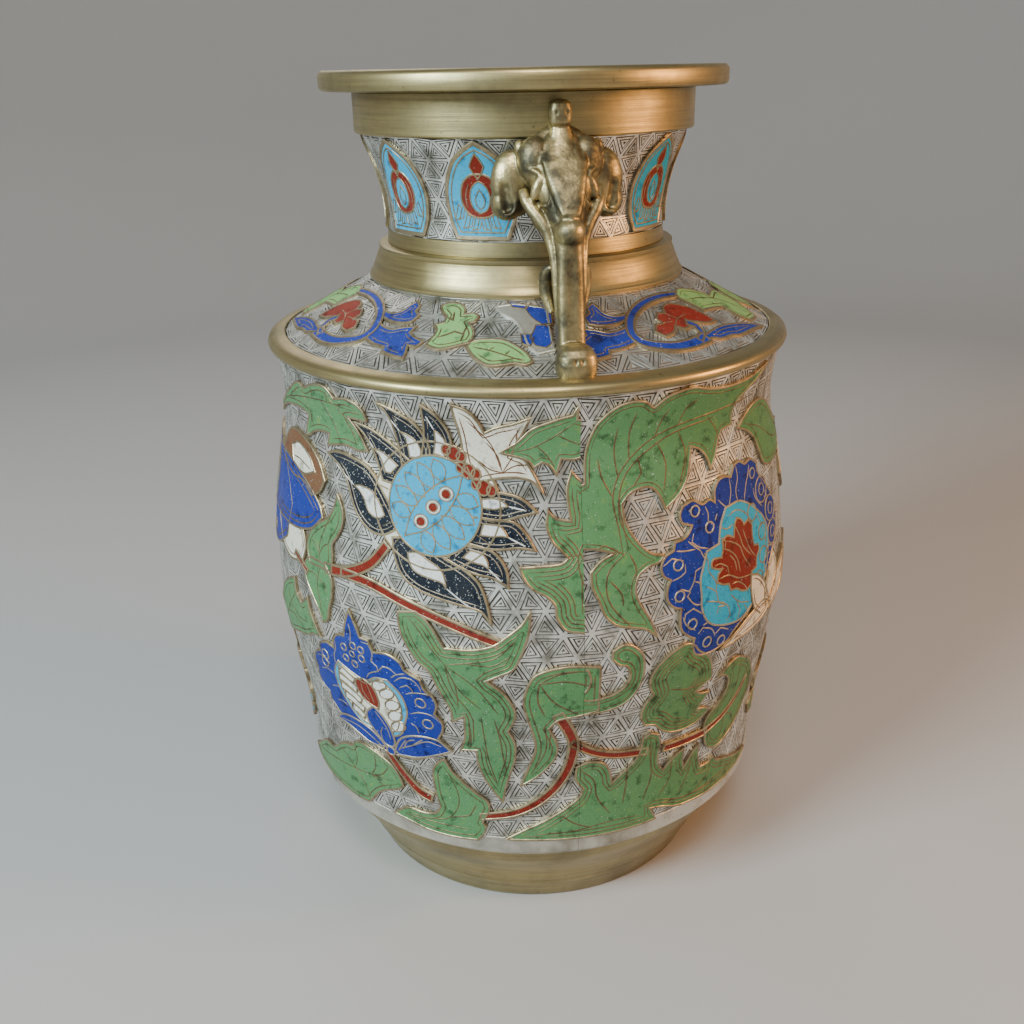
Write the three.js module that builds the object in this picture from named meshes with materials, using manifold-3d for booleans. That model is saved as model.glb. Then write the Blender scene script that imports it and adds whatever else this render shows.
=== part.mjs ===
// Champleve vase: a drum body in two cast halves on a tapered foot, with a sloping shoulder,
// a waisted neck, a flat mouth rim and two elephant head handles. Enamelled flowers, leaves and
// stems lie in relief on the drum, the shoulder and the neck. Millimetres, +Z up.
// The origin is the middle of the foot's underside, and the handles lie on the X axis.
import * as THREE from 'three';
import { mergeVertices } from 'three/addons/utils/BufferGeometryUtils.js';
import Module from 'manifold-3d';

const wasm = await Module();
wasm.setup();

// Heights above the ground
const footStepZ = 11;
const footMiddleZ = 19.7;
const footFlareZ = 30;
const footTopZ = 36;
const drumBottomZ = 39.4;
const drumTopZ = 208.4;
const shoulderFootZ = 213.3;
const collarBottomZ = 230.6;
const collarTopZ = 242.6;
const bandBottomZ = 280;
const rimBottomZ = 293.5;
const rimTopZ = 300;

// Outer radii
const footGroundRadius = 68.4;
const footStepRadius = 73.4;
const footMiddleRadius = 77.2;
const footFlareRadius = 84.5;
const footTopRadius = 87;
const drumBottomRadius = 91.2;
const drumLowRadius = 92.2;
const drumBellyRadius = 99.2;
const drumUpperRadius = 97.6;
const drumWaistRadius = 91;
const drumTopRadius = 93.2;
const ridgeRadius = 95.4;
const ridgeWidth = 6.5;
const ridgeInnerRadius = ridgeRadius - ridgeWidth;
const collarBottomRadius = 57;
const collarTopRadius = 53.2;
const neckRootRadius = 49.9;
const neckWaistRadius = 49.3;
const neckUpperRadius = 51.8;
const neckTopRadius = 57;
const bandRadius = 59.4;
const mouthRadius = 70.4;

// Walls, laps and fits
const wall = 3.2;
const fitClearance = 0.15;
const lapHeight = 3;
const basePlateThickness = 2.5;
const ridgeLedgeWidth = 4.5;
const ridgeLedgeHeight = 1.6;
const ridgeFaceHeight = 3;
const shoulderLedgeWidth = 7;
const shoulderEdgeDrop = 0.4;
const flangeOverhang = 1;
const collarOverhang = 0.6;
const collarFootHeight = 1.4;
const collarHollow = 1.8;
const collarLip = 1.6;
const edgeRounding = 0.8;
const seamGap = 0.3;
const segmentsRound = 32;

// Enamel inlays
const inlayThickness = 1.1;
const inlayClearance = 0.2;
const outlineTolerance = 1;
const leafGrowth = 1.04;
const medallionWidth = 23;
const medallionHeight = 29.5;
const medallionFootZ = 249;
const medallionsRound = 10;
const medallionStartAngle = 10;

// Elephant head handles
const trunkEndRadius = 5.3;
const trunkEndInset = 3.3;
const trunkEndX = ridgeInnerRadius - trunkEndInset;
const trunkHalfWidth = 3.8;
const tuskRadius = 1.35;
const knobRadius = 2.8;
const knobTopZ = 291;
const earInnerX = 52.6;
const earOuterX = 57.6;
const trunkEndRise = 11;
const trunkEndFootZ = drumTopZ + 2.6;

// Slices of the head and trunk from the ridge up to the crest: middle X, height, half depth, half width
const headSlices = [
  [trunkEndX - 6.4, drumTopZ + 4, 4.4, trunkHalfWidth],
  [76.2, 230, 3.7, trunkHalfWidth],
  [74.4, 249, 4, trunkHalfWidth],
  [73.2, 250.8, 7, 4.8],
  [70.8, 256, 9, 6],
  [66.6, 262, 10.2, 8.4],
  [63, 269, 10, 10.4],
  [60.8, 276, 7, 11.4],
  [59.6, 280.8, 3.8, 10.2],
  [59.2, 283.8, 2.8, 4.6],
];
const knobX = 62.4;
const knobSlices = [
  [61.6, knobTopZ - 10, 1.7, 1.7],
  [62.2, knobTopZ - 7, 0.7 * knobRadius, 0.7 * knobRadius],
  [knobX, knobTopZ - 5, knobRadius, knobRadius],
  [knobX, knobTopZ - 1.6, knobRadius, knobRadius],
  [knobX, knobTopZ, 0.5 * knobRadius, 0.5 * knobRadius],
];

// Rods on the head: X, Y, height and radius at each point
const tuskRoute = [
  [58, -13, 268.6, tuskRadius],
  [64.6, -10.8, 264, tuskRadius],
  [70.2, -7.4, 257.6, tuskRadius],
  [73.6, -4.9, 249, 0.8 * tuskRadius],
  [75.4, -3.9, 238, 0.4 * tuskRadius],
];
const curlRoute = [
  [59, -11.6, 281, 1], [59.8, -12.6, 278.6, 1.9], [61.2, -11, 274.6, 1.5], [64, -8.6, 271, 0.8],
];
const trunkScrollRoute = [
  [71.8, 0, 247.6, 1.4], [69, 0, 246, 2.1], [68.4, 0, 242, 2.4], [70.4, 0, 237, 1.6], [73.4, 0, 233, 1],
];

// Rounded parts of the head: middle, half sizes and tilt in degrees
const eyeball = { place: [70.3, -7.7, 266.6], radii: [1.9, 1.2, 3.9], tilt: -28 };
const eyeSocket = { place: [71.9, -7.7, 266.6], radii: [2.2, 2.1, 5.6], tilt: -28 };
const earHollow = { place: [earOuterX + 0.6, -15, 266.4], radii: [2.8, 3.6, 7] };
const earFold = { place: [earOuterX - 1.4, -14.6, 265.8], radii: [1.8, 1, 5], tilt: 6 };
const foreheadBulge = { place: [66.4, 0, 274.4], radii: [4.6, 3.9, 5.6], around: 8 };
const noseTip = { place: [76.2, 0, 254.8], radii: [4, 4.6, 4.6], around: 8 };

// The decoration is drawn on these heights and radii, with the handle at this angle
const drawnHandleAngle = 10;
const drawnBottomZ = 39.4;
const drawnTopZ = 208.4;
const drawnInnerRadius = 57;
const drawnOuterRadius = 88.9;

const bronze = { color: 0xa08a56, roughness: 0.38, metalness: 1 };
const silveredBronze = { color: 0xb5b2a4, roughness: 0.5, metalness: 1 };
const greenEnamel = { color: 0x5f9a4a, roughness: 0.3, metalness: 0 };
const cobaltEnamel = { color: 0x243c9c, roughness: 0.3, metalness: 0 };
const turquoiseEnamel = { color: 0x2c9cc4, roughness: 0.3, metalness: 0 };
const blackEnamel = { color: 0x22252c, roughness: 0.3, metalness: 0 };

// Outlines of the decoration: degrees round the drawing and heights above the ground

const topLeaf = [
  [-78, 187], [-72, 191], [-64.5, 197], [-59, 201.3], [-55.5, 203.6], [-53.3, 202.3], [-50, 204.4],
  [-46.5, 205.7], [-44, 205], [-42.2, 202], [-39, 203], [-36, 202], [-34.2, 199.6], [-33.8, 196.8],
  [-38.9, 197], [-36.2, 192], [-34.2, 186.8], [-36.5, 186.3], [-40, 187], [-43, 186.3], [-46, 185], [-45.3, 189.2],
  [-48, 189.2], [-51, 188], [-54.5, 185], [-54.6, 188], [-53, 193], [-56, 194.1], [-60, 193.8],
  [-66, 192], [-72, 189], [-77, 185],
];

// Petals of the black flower, each from its tip round to its tip
const flowerPetals = [
  [[-46, 182.5], [-43, 183.8], [-39, 183.5], [-33.5, 180.8], [-28.3, 171], [-26, 164], [-29.5, 160.8],
    [-33, 161.4], [-36.5, 166], [-39.5, 175.5], [-42, 179.5]],
  [[-37.3, 195.7], [-33, 194.4], [-28, 190.5], [-23, 185], [-27, 178], [-30, 178.5], [-32, 186], [-34.5, 192]],
  [[-30.2, 204], [-26.5, 202], [-22, 197.8], [-19.5, 191], [-20, 184], [-25.5, 184], [-26.4, 192], [-28, 200.5]],
  [[-20.4, 205], [-17.5, 201.7], [-15.3, 196], [-15, 189], [-16, 184], [-21.5, 186], [-20.4, 196]],
  [[1.4, 172], [-1, 175.7], [-3.5, 177.4], [-6.5, 178], [-11, 177], [-11, 170.5], [-5, 169.5], [-2, 170.8]],
  [[1, 160], [-0.8, 165.4], [-3, 168.8], [-6, 169.4], [-10.5, 170.2], [-12, 161], [-6, 160.2], [-2, 160.8]],
  [[-4, 148], [-4.3, 153], [-5.6, 157.2], [-7.5, 159.8], [-12.5, 162], [-16, 156], [-10.5, 152.3], [-6.5, 150.8]],
  [[-7.3, 135.4], [-8.2, 143], [-9.6, 149], [-12.5, 153.2], [-17, 157], [-22, 161.5], [-27.3, 160.5],
    [-26.6, 154.5], [-24.7, 148.5], [-21.5, 145], [-17, 142.8], [-12, 141], [-9, 139.5]],
];
const flowerDisc = { angle: -18.6, height: 172.7, halfAngle: 10, halfHeight: 15.2 };
const flowerBeads = [[-14.5, 189.4], [-11.6, 184], [-8.6, 179]];
const creamSprig = [
  [-14.3, 205.8], [-12, 204.6], [-10, 202], [-8.3, 197], [-6, 198.8], [-3, 200], [0.4, 202], [-1, 197.5],
  [-2.6, 193.3], [-3.2, 190], [-1, 188.8], [0.4, 185.5], [2.7, 178], [0.8, 181.6], [-2, 183], [-6, 182.7],
  [-10.5, 181], [-12.3, 188], [-13, 195.8], [-13.8, 201.7],
];
const seamLeaf = [
  [-5.4, 190.8], [-2, 194.2], [0.5, 198.1], [3, 199.9], [6.5, 201.7], [8.4, 202.4], [9.3, 205], [9.2, 201],
  [13, 199.6], [13, 190], [11.5, 189.6], [9, 188.2], [6.2, 188.6], [5.3, 183.5], [4, 186.7], [2.5, 187.7],
  [1, 186], [0, 188.2], [-2, 189.4],
];
const seamLobes = [
  [8.2, 184], [9.6, 181.4], [13, 177], [13, 133], [11, 131.4], [9.2, 132], [6.5, 133.3], [4.9, 137.5],
  [4.6, 141.7], [3, 145], [0.5, 147.5], [-1.2, 151.2], [-1.8, 154.3], [2, 154.6], [6, 155.2], [7.3, 157],
  [5.5, 160.3], [4.3, 162.5], [3.3, 167.5], [3.6, 172], [5, 169.7], [8, 168.5], [7.5, 174.2], [7.4, 179.2],
];
const acanthus = [
  [12.7, 197.5], [14.3, 200.8], [16.8, 203.8], [19.9, 205.1], [22.4, 204.6], [24.6, 202], [27.4, 205],
  [30.5, 206.2], [33.6, 206.5], [38, 204.8], [43, 203.8], [50, 203.8], [55.5, 205], [60, 206.5],
  [55.5, 202.8], [51.5, 200.2], [48, 197.5], [46.6, 194.5], [46.6, 190], [43.2, 189.2], [42, 185.8],
  [41, 181.3], [39.6, 177.5], [38.6, 181.8], [36.8, 185], [34.3, 186.8], [33.9, 182.5], [32.9, 176.7],
  [30.8, 172.3], [27.4, 168.6], [26.2, 173.2], [24.6, 176.2], [22.2, 176.8], [19.6, 175.4], [18, 172.5],
  [18.3, 167.5], [19.6, 162.5], [21.4, 158.3], [23.6, 155], [26.4, 153.6], [25.2, 151.8], [22.8, 151],
  [20.6, 148.3], [20, 143.3], [21, 138.3], [22.7, 133.3], [24.4, 126.3], [22, 129.8], [19.3, 131.3],
  [16.2, 133], [14, 136.7], [12.9, 141.7], [11.6, 147], [11.4, 151.7], [13.4, 155], [16.2, 157.2],
  [12, 159.3], [8, 159.6], [8, 178], [10.8, 180], [11.1, 190],
];
const bigFlower = { angle: 46, height: 145.5, halfAngle: 17.2, halfHeight: 27, lobes: 15, lobeRadius: 5 };
// Petals below the scalloped flower, as steps from its middle
const lotusPetalSteps = [
  [[4, -10], [7.5, -12.5], [10.5, -17.5], [13, -25.5], [9, -28.5], [5.6, -23.5], [4.2, -16.5]],
  [[15, -7], [17.5, -13.5], [17, -23.5], [12, -27.5], [10.5, -21.5], [12, -13.5]],
  [[24.5, -12.5], [24, -20.5], [20, -28], [14, -30.5], [13.5, -24.5], [18, -17.5]],
  [[-5.5, -33.2], [-1, -29.7], [4, -26], [10, -24], [15, -28.5], [9, -31.7], [2, -32.7]],
];
const roundLeaf = [
  [31, 120], [28, 118.2], [25.2, 114.6], [23.7, 110], [24, 105.8], [24.8, 103], [23, 99.2], [22.5, 94.5],
  [23.6, 90.4], [26, 89.2], [28, 85.8], [31, 83.2], [34.9, 82.5], [38.6, 83.8], [41, 86.7], [39.3, 88.2],
  [37, 89.2], [38.4, 92.3], [39.7, 95], [37.4, 95.8], [35.5, 98], [37.8, 99.8], [39.8, 101], [39.3, 105.5],
  [38.5, 109.5], [37, 112.8], [34.8, 115.6], [33.2, 118.8],
];
const lowerLeaf = [
  [43, 99.6], [45.5, 102.5], [48.6, 103.3], [51.8, 100.8], [55.3, 96.7], [58, 90.5], [59.3, 83.5],
  [58.6, 76.7], [55.7, 70.2], [51.8, 66.3], [48, 64.6], [44.9, 65.8], [42.7, 69.2], [41.8, 74.2],
  [40.8, 80], [41.8, 83.3], [44.7, 86.9], [46.7, 91.7], [46.3, 96], [44.9, 98.4],
];
const bottomAcanthus = [
  [-6, 45.8], [-2, 49.8], [2, 53.3], [6, 57.3], [8.3, 60.2], [10.3, 63.3], [10.9, 66.5], [9.2, 71],
  [9.3, 76.7], [11.8, 78.2], [14.7, 77], [16.3, 73.3], [17.2, 66.8], [20.4, 71.7], [22.8, 75.8],
  [23.5, 80], [23.6, 84.2], [25.3, 85.7], [27.4, 84], [28.1, 80], [28, 75], [28.4, 70], [29.9, 66.3],
  [32.3, 70], [35.4, 72.5], [35.3, 68.3], [36, 63.3], [38.4, 68.2], [40.2, 70.6], [40.5, 65], [41.6, 59.4],
  [44.6, 59.2], [46.2, 60.8], [48, 57.5], [51.8, 55], [58, 50.8], [66, 47], [58, 45.6], [45.5, 45.6],
  [39.3, 46.5], [34.9, 47.5], [30.5, 50], [27, 51.3], [28.6, 45.8], [22, 45.4], [12, 45.4], [3, 45.6],
];
const bottomAcanthusTip = [
  [-6, 45.8], [-2, 49.8], [2, 53.3], [6, 57.3], [8.3, 60.2], [11, 65.6], [12, 45.4], [3, 45.6],
];
const centreLeaf = [
  [0.5, 116.5], [2.5, 118.5], [5, 119.5], [8, 119.8], [13, 118.6], [13, 101], [8.6, 99.6], [5, 98.4],
  [3.2, 95], [4.3, 90.8], [5, 86.7], [4.5, 81.7], [2.5, 76.7], [0, 72.5], [-2.5, 69.6], [-1, 76.7],
  [0.4, 83.3], [0.7, 88.3], [0, 94.2], [-1, 100.8], [-1.5, 106.7], [-0.8, 112],
];
const curl = [
  [8, 118.6], [10.6, 118], [11.2, 114], [10.6, 110.4], [9, 107.4], [10.5, 105.8], [13.6, 105.8], [16.8, 107.5],
  [18.8, 110.8], [19.1, 114.6], [18.3, 117.5], [16.8, 118.4], [15.4, 120.8], [15.5, 123.8], [17.4, 125.4],
  [19.3, 124.6], [21.3, 120.8], [21.9, 115], [21.1, 108.3], [18.6, 102.7], [14.3, 100.4], [8, 100],
];
const longLeaf = [
  [-25.8, 135.8], [-25.5, 130], [-24, 124], [-21.8, 118.8], [-19.6, 115.6], [-18.4, 110.5], [-17, 105],
  [-16, 100.8], [-15.9, 96.3], [-13.4, 99.2], [-13.5, 94.2], [-13.7, 89.2], [-14.8, 84], [-11.4, 84.6],
  [-11.4, 80], [-10.8, 75], [-9.5, 69.6], [-6.6, 62], [-5.9, 68.3], [-4.8, 75], [-3.8, 80.8], [-3.5, 86.7],
  [-4, 90.8], [-4.9, 94], [-3.8, 97.5], [-3.3, 101.7], [-4, 105.8], [-5.5, 110], [-8.6, 114.6], [-6, 117],
  [-3.6, 119.2], [-2.4, 122.7], [-1.4, 127], [-0.4, 133], [-0.1, 139.6], [-1.6, 135.4], [-4, 131.7],
  [-7, 127.8], [-11, 125.8], [-16.5, 125.4], [-18, 130], [-20, 134.6], [-22, 137],
];
const bottomLeaf = [
  [-18.9, 78], [-20.5, 75.8], [-21.8, 72.3], [-22, 66.7], [-21.6, 60.8], [-20.8, 56.3], [-22, 52.8],
  [-25, 51.3], [-29.5, 51.2], [-33.5, 46.7], [-29, 45.8], [-24, 44.4], [-18, 44], [-12.5, 44.4], [-11, 47.5],
  [-10.4, 50.4], [-11.3, 52], [-10.5, 55], [-9.6, 58.3], [-10.1, 61.7], [-12.4, 64.6], [-15, 68.3], [-17.4, 72.7],
];
const sideBottomLeaf = [
  [-31, 63.3], [-32.2, 66.6], [-34.4, 69], [-38.4, 71.2], [-42, 71.7], [-44.5, 70.4], [-46, 67.5], [-49, 66.2],
  [-52, 63.3], [-55.3, 59.2], [-60, 57.6], [-64.5, 53.4], [-69, 47.6], [-73, 44.6], [-66, 44.2], [-54, 44.4],
  [-42, 45.6], [-39.5, 50], [-37.5, 53.3], [-35, 55.8], [-32.3, 57.8], [-30.4, 60],
];
const blueLotus = [
  [-38.1, 130.8], [-36.4, 126], [-35.4, 122], [-33.3, 121.8], [-32.2, 118], [-28.8, 118.8], [-26, 116.7],
  [-25.2, 114], [-22, 111.4], [-21.3, 107.6], [-19.6, 105], [-19.1, 101.7], [-19.8, 98], [-18.4, 95],
  [-18.4, 91.4], [-19.6, 87.4], [-17, 82.6], [-21, 79.6], [-25, 75.6], [-30, 74.2], [-34, 74.2], [-40, 75.5],
  [-45, 77.6], [-49, 78.3], [-47.4, 81.8], [-50, 85.8], [-49.9, 89.6], [-52.4, 91.4], [-53.3, 95],
  [-52.8, 98.2], [-53.3, 102], [-51.6, 106], [-49.7, 107.6], [-49, 111.4], [-46.6, 113.4], [-43.8, 112.9],
  [-43.3, 117], [-41.8, 119.6], [-39.9, 120.2], [-39.2, 125.4],
];
const leafPairUpper = [
  [-42.2, 169.3], [-40.6, 165], [-40.3, 160.8], [-41.5, 155.8], [-43, 152.4], [-42.8, 148.3], [-43, 142.5],
  [-50.5, 142], [-51.6, 146.7], [-51.3, 150.8], [-50, 154.2], [-47.5, 157.5], [-44.6, 161], [-43, 165],
];
const leafPairLower = [
  [-52.3, 141.3], [-50, 144], [-45, 144], [-43, 139.5], [-43, 133.3], [-44, 128.3], [-44.8, 123.3],
  [-46.3, 121.7], [-47.5, 125.8], [-49.5, 130], [-52, 135], [-52.6, 138.3],
];
const sideLeaf = [
  [-58, 131.5], [-57.2, 126], [-54.8, 123.3], [-52, 127.5], [-51.3, 123.3], [-50, 119.2], [-48.3, 114.6],
  [-51, 113.8], [-54.5, 110.8], [-59.5, 108.3], [-66, 104], [-73, 100.2], [-82, 93.5], [-79, 100.6],
  [-75, 108.5], [-69, 118], [-63.5, 126.6],
];
const farSideLeaf = [
  [-98.7, 131.5], [-99.4, 126], [-101.4, 123.3], [-103.8, 127.5], [-104.4, 123.3], [-105.5, 119.2],
  [-107, 114.6], [-104.7, 113.8], [-101.7, 110.8], [-97.4, 108.3], [-92, 104], [-86, 100.2], [-78.6, 93.5],
  [-81, 100.6], [-84.2, 108.5], [-89.4, 118], [-94, 126.6],
];
const sprayLeaf = [
  [-88, 68], [-92, 73], [-95, 80], [-99, 86], [-103.6, 88], [-107.4, 86], [-107, 82], [-112, 80],
  [-114, 75.4], [-111.4, 72], [-115, 67.6], [-113.4, 62.4], [-108.6, 60.4], [-104.6, 62.4], [-101.4, 58.6],
  [-97, 60], [-94.6, 65],
];
const sideLotusPetals = [
  [[-76, 177], [-86, 177], [-95, 173], [-101, 166], [-103, 157], [-97, 149], [-88, 143], [-80, 139], [-70, 138],
    [-62, 145], [-60, 158], [-66, 170]],
  [[-47, 163.2], [-51, 166.6], [-57, 171], [-66, 173.5], [-76, 174], [-76, 152], [-66, 152.5], [-57, 154.6], [-51, 157.6]],
  [[-48.6, 178.4], [-52, 182], [-58, 183], [-64, 180.8], [-70, 172], [-62, 170.6], [-55, 170], [-50.5, 173.6]],
  [[-57, 140.2], [-56.4, 147], [-58.4, 153.6], [-66, 156], [-72, 154], [-66.6, 143.4], [-61.5, 139.2]],
];
const lowFlower = { angle: -79, height: 72, halfAngle: 11.5, halfHeight: 17, lobes: 11, lobeRadius: 5 };
const sideLotusLeaf = [
  [-130.5, 187.4], [-128, 190.4], [-124.5, 193.1], [-120, 193.4], [-115.7, 190.8], [-111, 185.4],
  [-106, 180], [-99, 177], [-91, 172], [-99, 165], [-106, 168], [-115, 168], [-119.4, 170.4], [-121.6, 176],
  [-123.8, 181.6], [-127, 185.2],
];

// Stems of the scrolls: middle points from root to tip, and the width at each end
const lotusStem = { route: [[-34, 76], [-31.5, 69.5], [-28, 63], [-25.6, 60], [-23, 58.6]], widths: [2.2, 3] };
const leftStem = {
  route: [[-45, 143], [-40, 144], [-36, 146.4], [-32, 150.6], [-28.6, 157.6]],
  widths: [3.4, 2.6],
};
const rightStem = {
  route: [[-40, 144], [-32, 143], [-25, 139.6], [-17, 135.4], [-6, 128.6]],
  widths: [2.6, 2.2],
};
const seamStem = {
  route: [[-11.5, 54.6], [-4, 57.4], [1.5, 62.6], [5.5, 70], [7.8, 79], [8.2, 89], [5, 101]],
  widths: [2.2, 3.4],
};
const hangingStem = { route: [[-79, 86], [-78.6, 91], [-77, 97], [-74, 102]], widths: [2.4, 2.8] };
const nearStem = { route: [[8, 88], [12.5, 82.8], [17.5, 79.8], [25, 78]], widths: [2.2, 2.6] };
const farStem = { route: [[29.4, 76.6], [35, 76], [42, 75.6]], widths: [2.8, 3] };

// Outlines of the shoulder's decoration: degrees round the drawing and radii

const palmette = [
  [-71, 62.5], [-64, 60.5], [-56, 61.5], [-50, 63.5], [-45, 64], [-40, 61.5], [-38, 65], [-33.5, 66],
  [-35, 69.5], [-40, 71], [-37, 73], [-31, 73.5], [-30, 76], [-26, 77.5], [-29, 79.5], [-27.5, 84],
  [-33, 83], [-37, 81], [-44, 80], [-50, 84], [-58, 85], [-65, 82.5], [-72, 81], [-80, 84.5],
  [-74, 77], [-73, 70],
];
const palmetteLeaf = [
  [-69, 63.6], [-74, 60.9], [-80.5, 63], [-84.6, 66.4], [-85.8, 68.4], [-93.6, 68.2], [-96.6, 71.3],
  [-97.3, 75.8], [-95, 80.7], [-92.3, 84], [-86.6, 83], [-84.4, 79], [-83.7, 74], [-80, 72.8], [-73, 71.6],
];
const middleLeaf = [
  [-25.7, 60.6], [-20, 60.3], [-19.3, 63], [-17, 64.7], [-15.4, 61.9], [-12.9, 64.2], [-12.1, 68],
  [-13.6, 70.8], [-11.7, 73.6], [-10, 73.6], [-4.3, 75.2], [-1.4, 79], [0, 84.6], [-0.7, 86.6],
  [-4.3, 84.6], [-8.4, 83.8], [-8.9, 86.6], [-11.4, 83], [-14.3, 79.4], [-18.6, 79], [-22.9, 78],
  [-24.6, 75.2], [-23.6, 72.4], [-25, 68], [-23, 65.3],
];
const smallScroll = [
  [-9, 60], [-4, 59], [2, 60], [6, 61], [6, 78], [2.6, 79.2], [0.4, 76], [-1, 70], [-3, 65.6], [-7, 62.6],
];

// Shape helpers

// A closed mesh as a solid for cutting and joining
function toSolid(geometry) {
  const bare = geometry.index ? geometry.toNonIndexed() : geometry.clone();
  bare.deleteAttribute('normal');
  bare.deleteAttribute('uv');
  const merged = mergeVertices(bare, 1e-4);
  return new wasm.Manifold(new wasm.Mesh({
    numProp: 3,
    vertProperties: new Float32Array(merged.attributes.position.array),
    triVerts: new Uint32Array(merged.index.array),
  }));
}

function toMesh(name, solid, look) {
  const { vertProperties, triVerts } = solid.getMesh();
  const geometry = new THREE.BufferGeometry();
  geometry.setAttribute('position', new THREE.BufferAttribute(vertProperties, 3));
  geometry.setIndex(new THREE.BufferAttribute(triVerts, 1));
  const mesh = new THREE.Mesh(geometry, new THREE.MeshStandardMaterial(look));
  mesh.name = name;
  return mesh;
}

function joinAll(solids) {
  return solids.reduce((joined, solid) => joined.add(solid));
}

function toShape(points) {
  return new THREE.Shape(points.map(([across, up]) => new THREE.Vector2(across, up)));
}

// A closed profile of (radius, height) points turned about the Z axis
function revolve(points) {
  const profile = points.map(([radius, height]) => new THREE.Vector2(radius, height));
  profile.push(profile[0].clone());
  const geometry = new THREE.LatheGeometry(profile, segmentsRound);
  geometry.rotateX(Math.PI / 2);
  return toSolid(geometry);
}

// A layer that lies over an outer curve of (radius, height) points, from one offset to another
function layerOver(curve, innerOffset, outerOffset) {
  const outside = curve.map(([radius, height]) => [radius + outerOffset, height]);
  const inside = curve.map(([radius, height]) => [radius + innerOffset, height]).reverse();
  return revolve([...outside, ...inside]);
}

// An outline in the (sideways, up) plane pushed out along +X between two distances
function pushOut(points, fromX, toX) {
  const geometry = new THREE.ExtrudeGeometry(toShape(points), {
    depth: toX - fromX, bevelEnabled: false,
  });
  geometry.rotateX(Math.PI / 2);
  geometry.rotateZ(Math.PI / 2);
  geometry.translate(fromX, 0, 0);
  return toSolid(geometry);
}

// Closed rings of equal size skinned into one body, from the first ring to the last
function skinRings(rings) {
  const sides = rings[0].length;
  const last = rings.length - 1;
  const positions = rings.flat(2);
  const faces = [];
  for (let i = 0; i < sides; i += 1) {
    const next = (i + 1) % sides;
    for (let level = 0; level < last; level += 1) {
      const below = level * sides;
      const above = below + sides;
      faces.push(below + i, below + next, above + next);
      faces.push(below + i, above + next, above + i);
    }
  }
  for (let i = 1; i < sides - 1; i += 1) {
    faces.push(0, i + 1, i);
    faces.push(last * sides, last * sides + i, last * sides + i + 1);
  }
  const geometry = new THREE.BufferGeometry();
  geometry.setAttribute('position', new THREE.Float32BufferAttribute(positions, 3));
  geometry.setIndex(faces);
  return toSolid(geometry);
}

// Level slices stacked into one body: each is [middleX, height, halfDepth, halfWidth]
function stackSlices(slices, sides = 10, squareness = 0.8) {
  return skinRings(slices.map(([middleX, height, halfDepth, halfWidth]) => {
    const ring = [];
    for (let i = 0; i < sides; i += 1) {
      const angle = (2 * Math.PI * (i + 0.5)) / sides;
      const across = Math.cos(angle);
      const along = Math.sin(angle);
      ring.push([
        middleX + halfDepth * Math.sign(across) * Math.abs(across) ** squareness,
        halfWidth * Math.sign(along) * Math.abs(along) ** squareness,
        height,
      ]);
    }
    return ring;
  }));
}

// A round rod that follows points [x, y, z, radius] and changes its thickness on the way
function taperedRod(points, sides = 5) {
  const route = new THREE.CatmullRomCurve3(points.map(([x, y, z]) => new THREE.Vector3(x, y, z)));
  const last = points.length - 1;
  const { normals, binormals } = route.computeFrenetFrames(last, false);
  return skinRings(points.map(([x, y, z, radius], level) => {
    const ring = [];
    for (let i = 0; i < sides; i += 1) {
      const angle = (2 * Math.PI * i) / sides;
      const spoke = normals[level].clone().multiplyScalar(radius * Math.cos(angle));
      spoke.addScaledVector(binormals[level], radius * Math.sin(angle));
      ring.push([x + spoke.x, y + spoke.y, z + spoke.z]);
    }
    return ring;
  }));
}

function ball({ place, radii, tilt = 0, around = 6 }) {
  const geometry = new THREE.SphereGeometry(1, around, around === 6 ? 5 : 6);
  geometry.scale(...radii);
  geometry.rotateX(THREE.MathUtils.degToRad(tilt));
  geometry.translate(...place);
  return toSolid(geometry);
}

// Everything on one side of the XZ plane, kept back from it by a distance
function sideOfSeam(side, distance) {
  const depth = 2 * (mouthRadius + drumTopRadius + drumBellyRadius);
  const block = new THREE.BoxGeometry(2 * depth, depth, 3 * rimTopZ);
  block.translate(0, side * (depth / 2 + distance), 0);
  return toSolid(block);
}

// Outer curves of the turned forms, from the bottom up

function drumCurve() {
  const height = drumTopZ - drumBottomZ;
  return [
    [drumBottomRadius, drumBottomZ],
    [drumLowRadius, drumBottomZ + 0.17 * height],
    [drumBellyRadius, drumBottomZ + 0.47 * height],
    [drumUpperRadius, drumBottomZ + 0.63 * height],
    [drumWaistRadius, drumBottomZ + 0.9 * height],
    [drumTopRadius, drumTopZ],
  ];
}

function drumRadiusAt(height) {
  const curve = drumCurve();
  const above = Math.max(1, curve.findIndex((point) => point[1] >= height));
  const [upperRadius, upperZ] = curve[above];
  const [lowerRadius, lowerZ] = curve[above - 1];
  const share = THREE.MathUtils.clamp((height - lowerZ) / (upperZ - lowerZ), 0, 1);
  return lowerRadius + share * (upperRadius - lowerRadius);
}

function neckCurve() {
  const height = bandBottomZ - collarTopZ;
  return [
    [neckRootRadius, collarTopZ + fitClearance],
    [neckWaistRadius, collarTopZ + 0.3 * height],
    [neckUpperRadius, collarTopZ + 0.65 * height],
    [neckTopRadius, bandBottomZ - fitClearance],
  ];
}

function inward(curve, distance) {
  return curve.map(([radius, height]) => [radius - distance, height]).reverse();
}

// Turned pieces

function footRing() {
  const curve = [
    [footGroundRadius, 0],
    [footStepRadius, footStepZ],
    [footMiddleRadius, footMiddleZ],
    [footFlareRadius, footFlareZ],
    [footTopRadius, footTopZ],
  ];
  return revolve([...curve, ...inward(curve, wall)]);
}

const flangeBottomZ = footTopZ + fitClearance;
const flangeInnerRadius = footTopRadius - 2 * wall;

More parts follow.
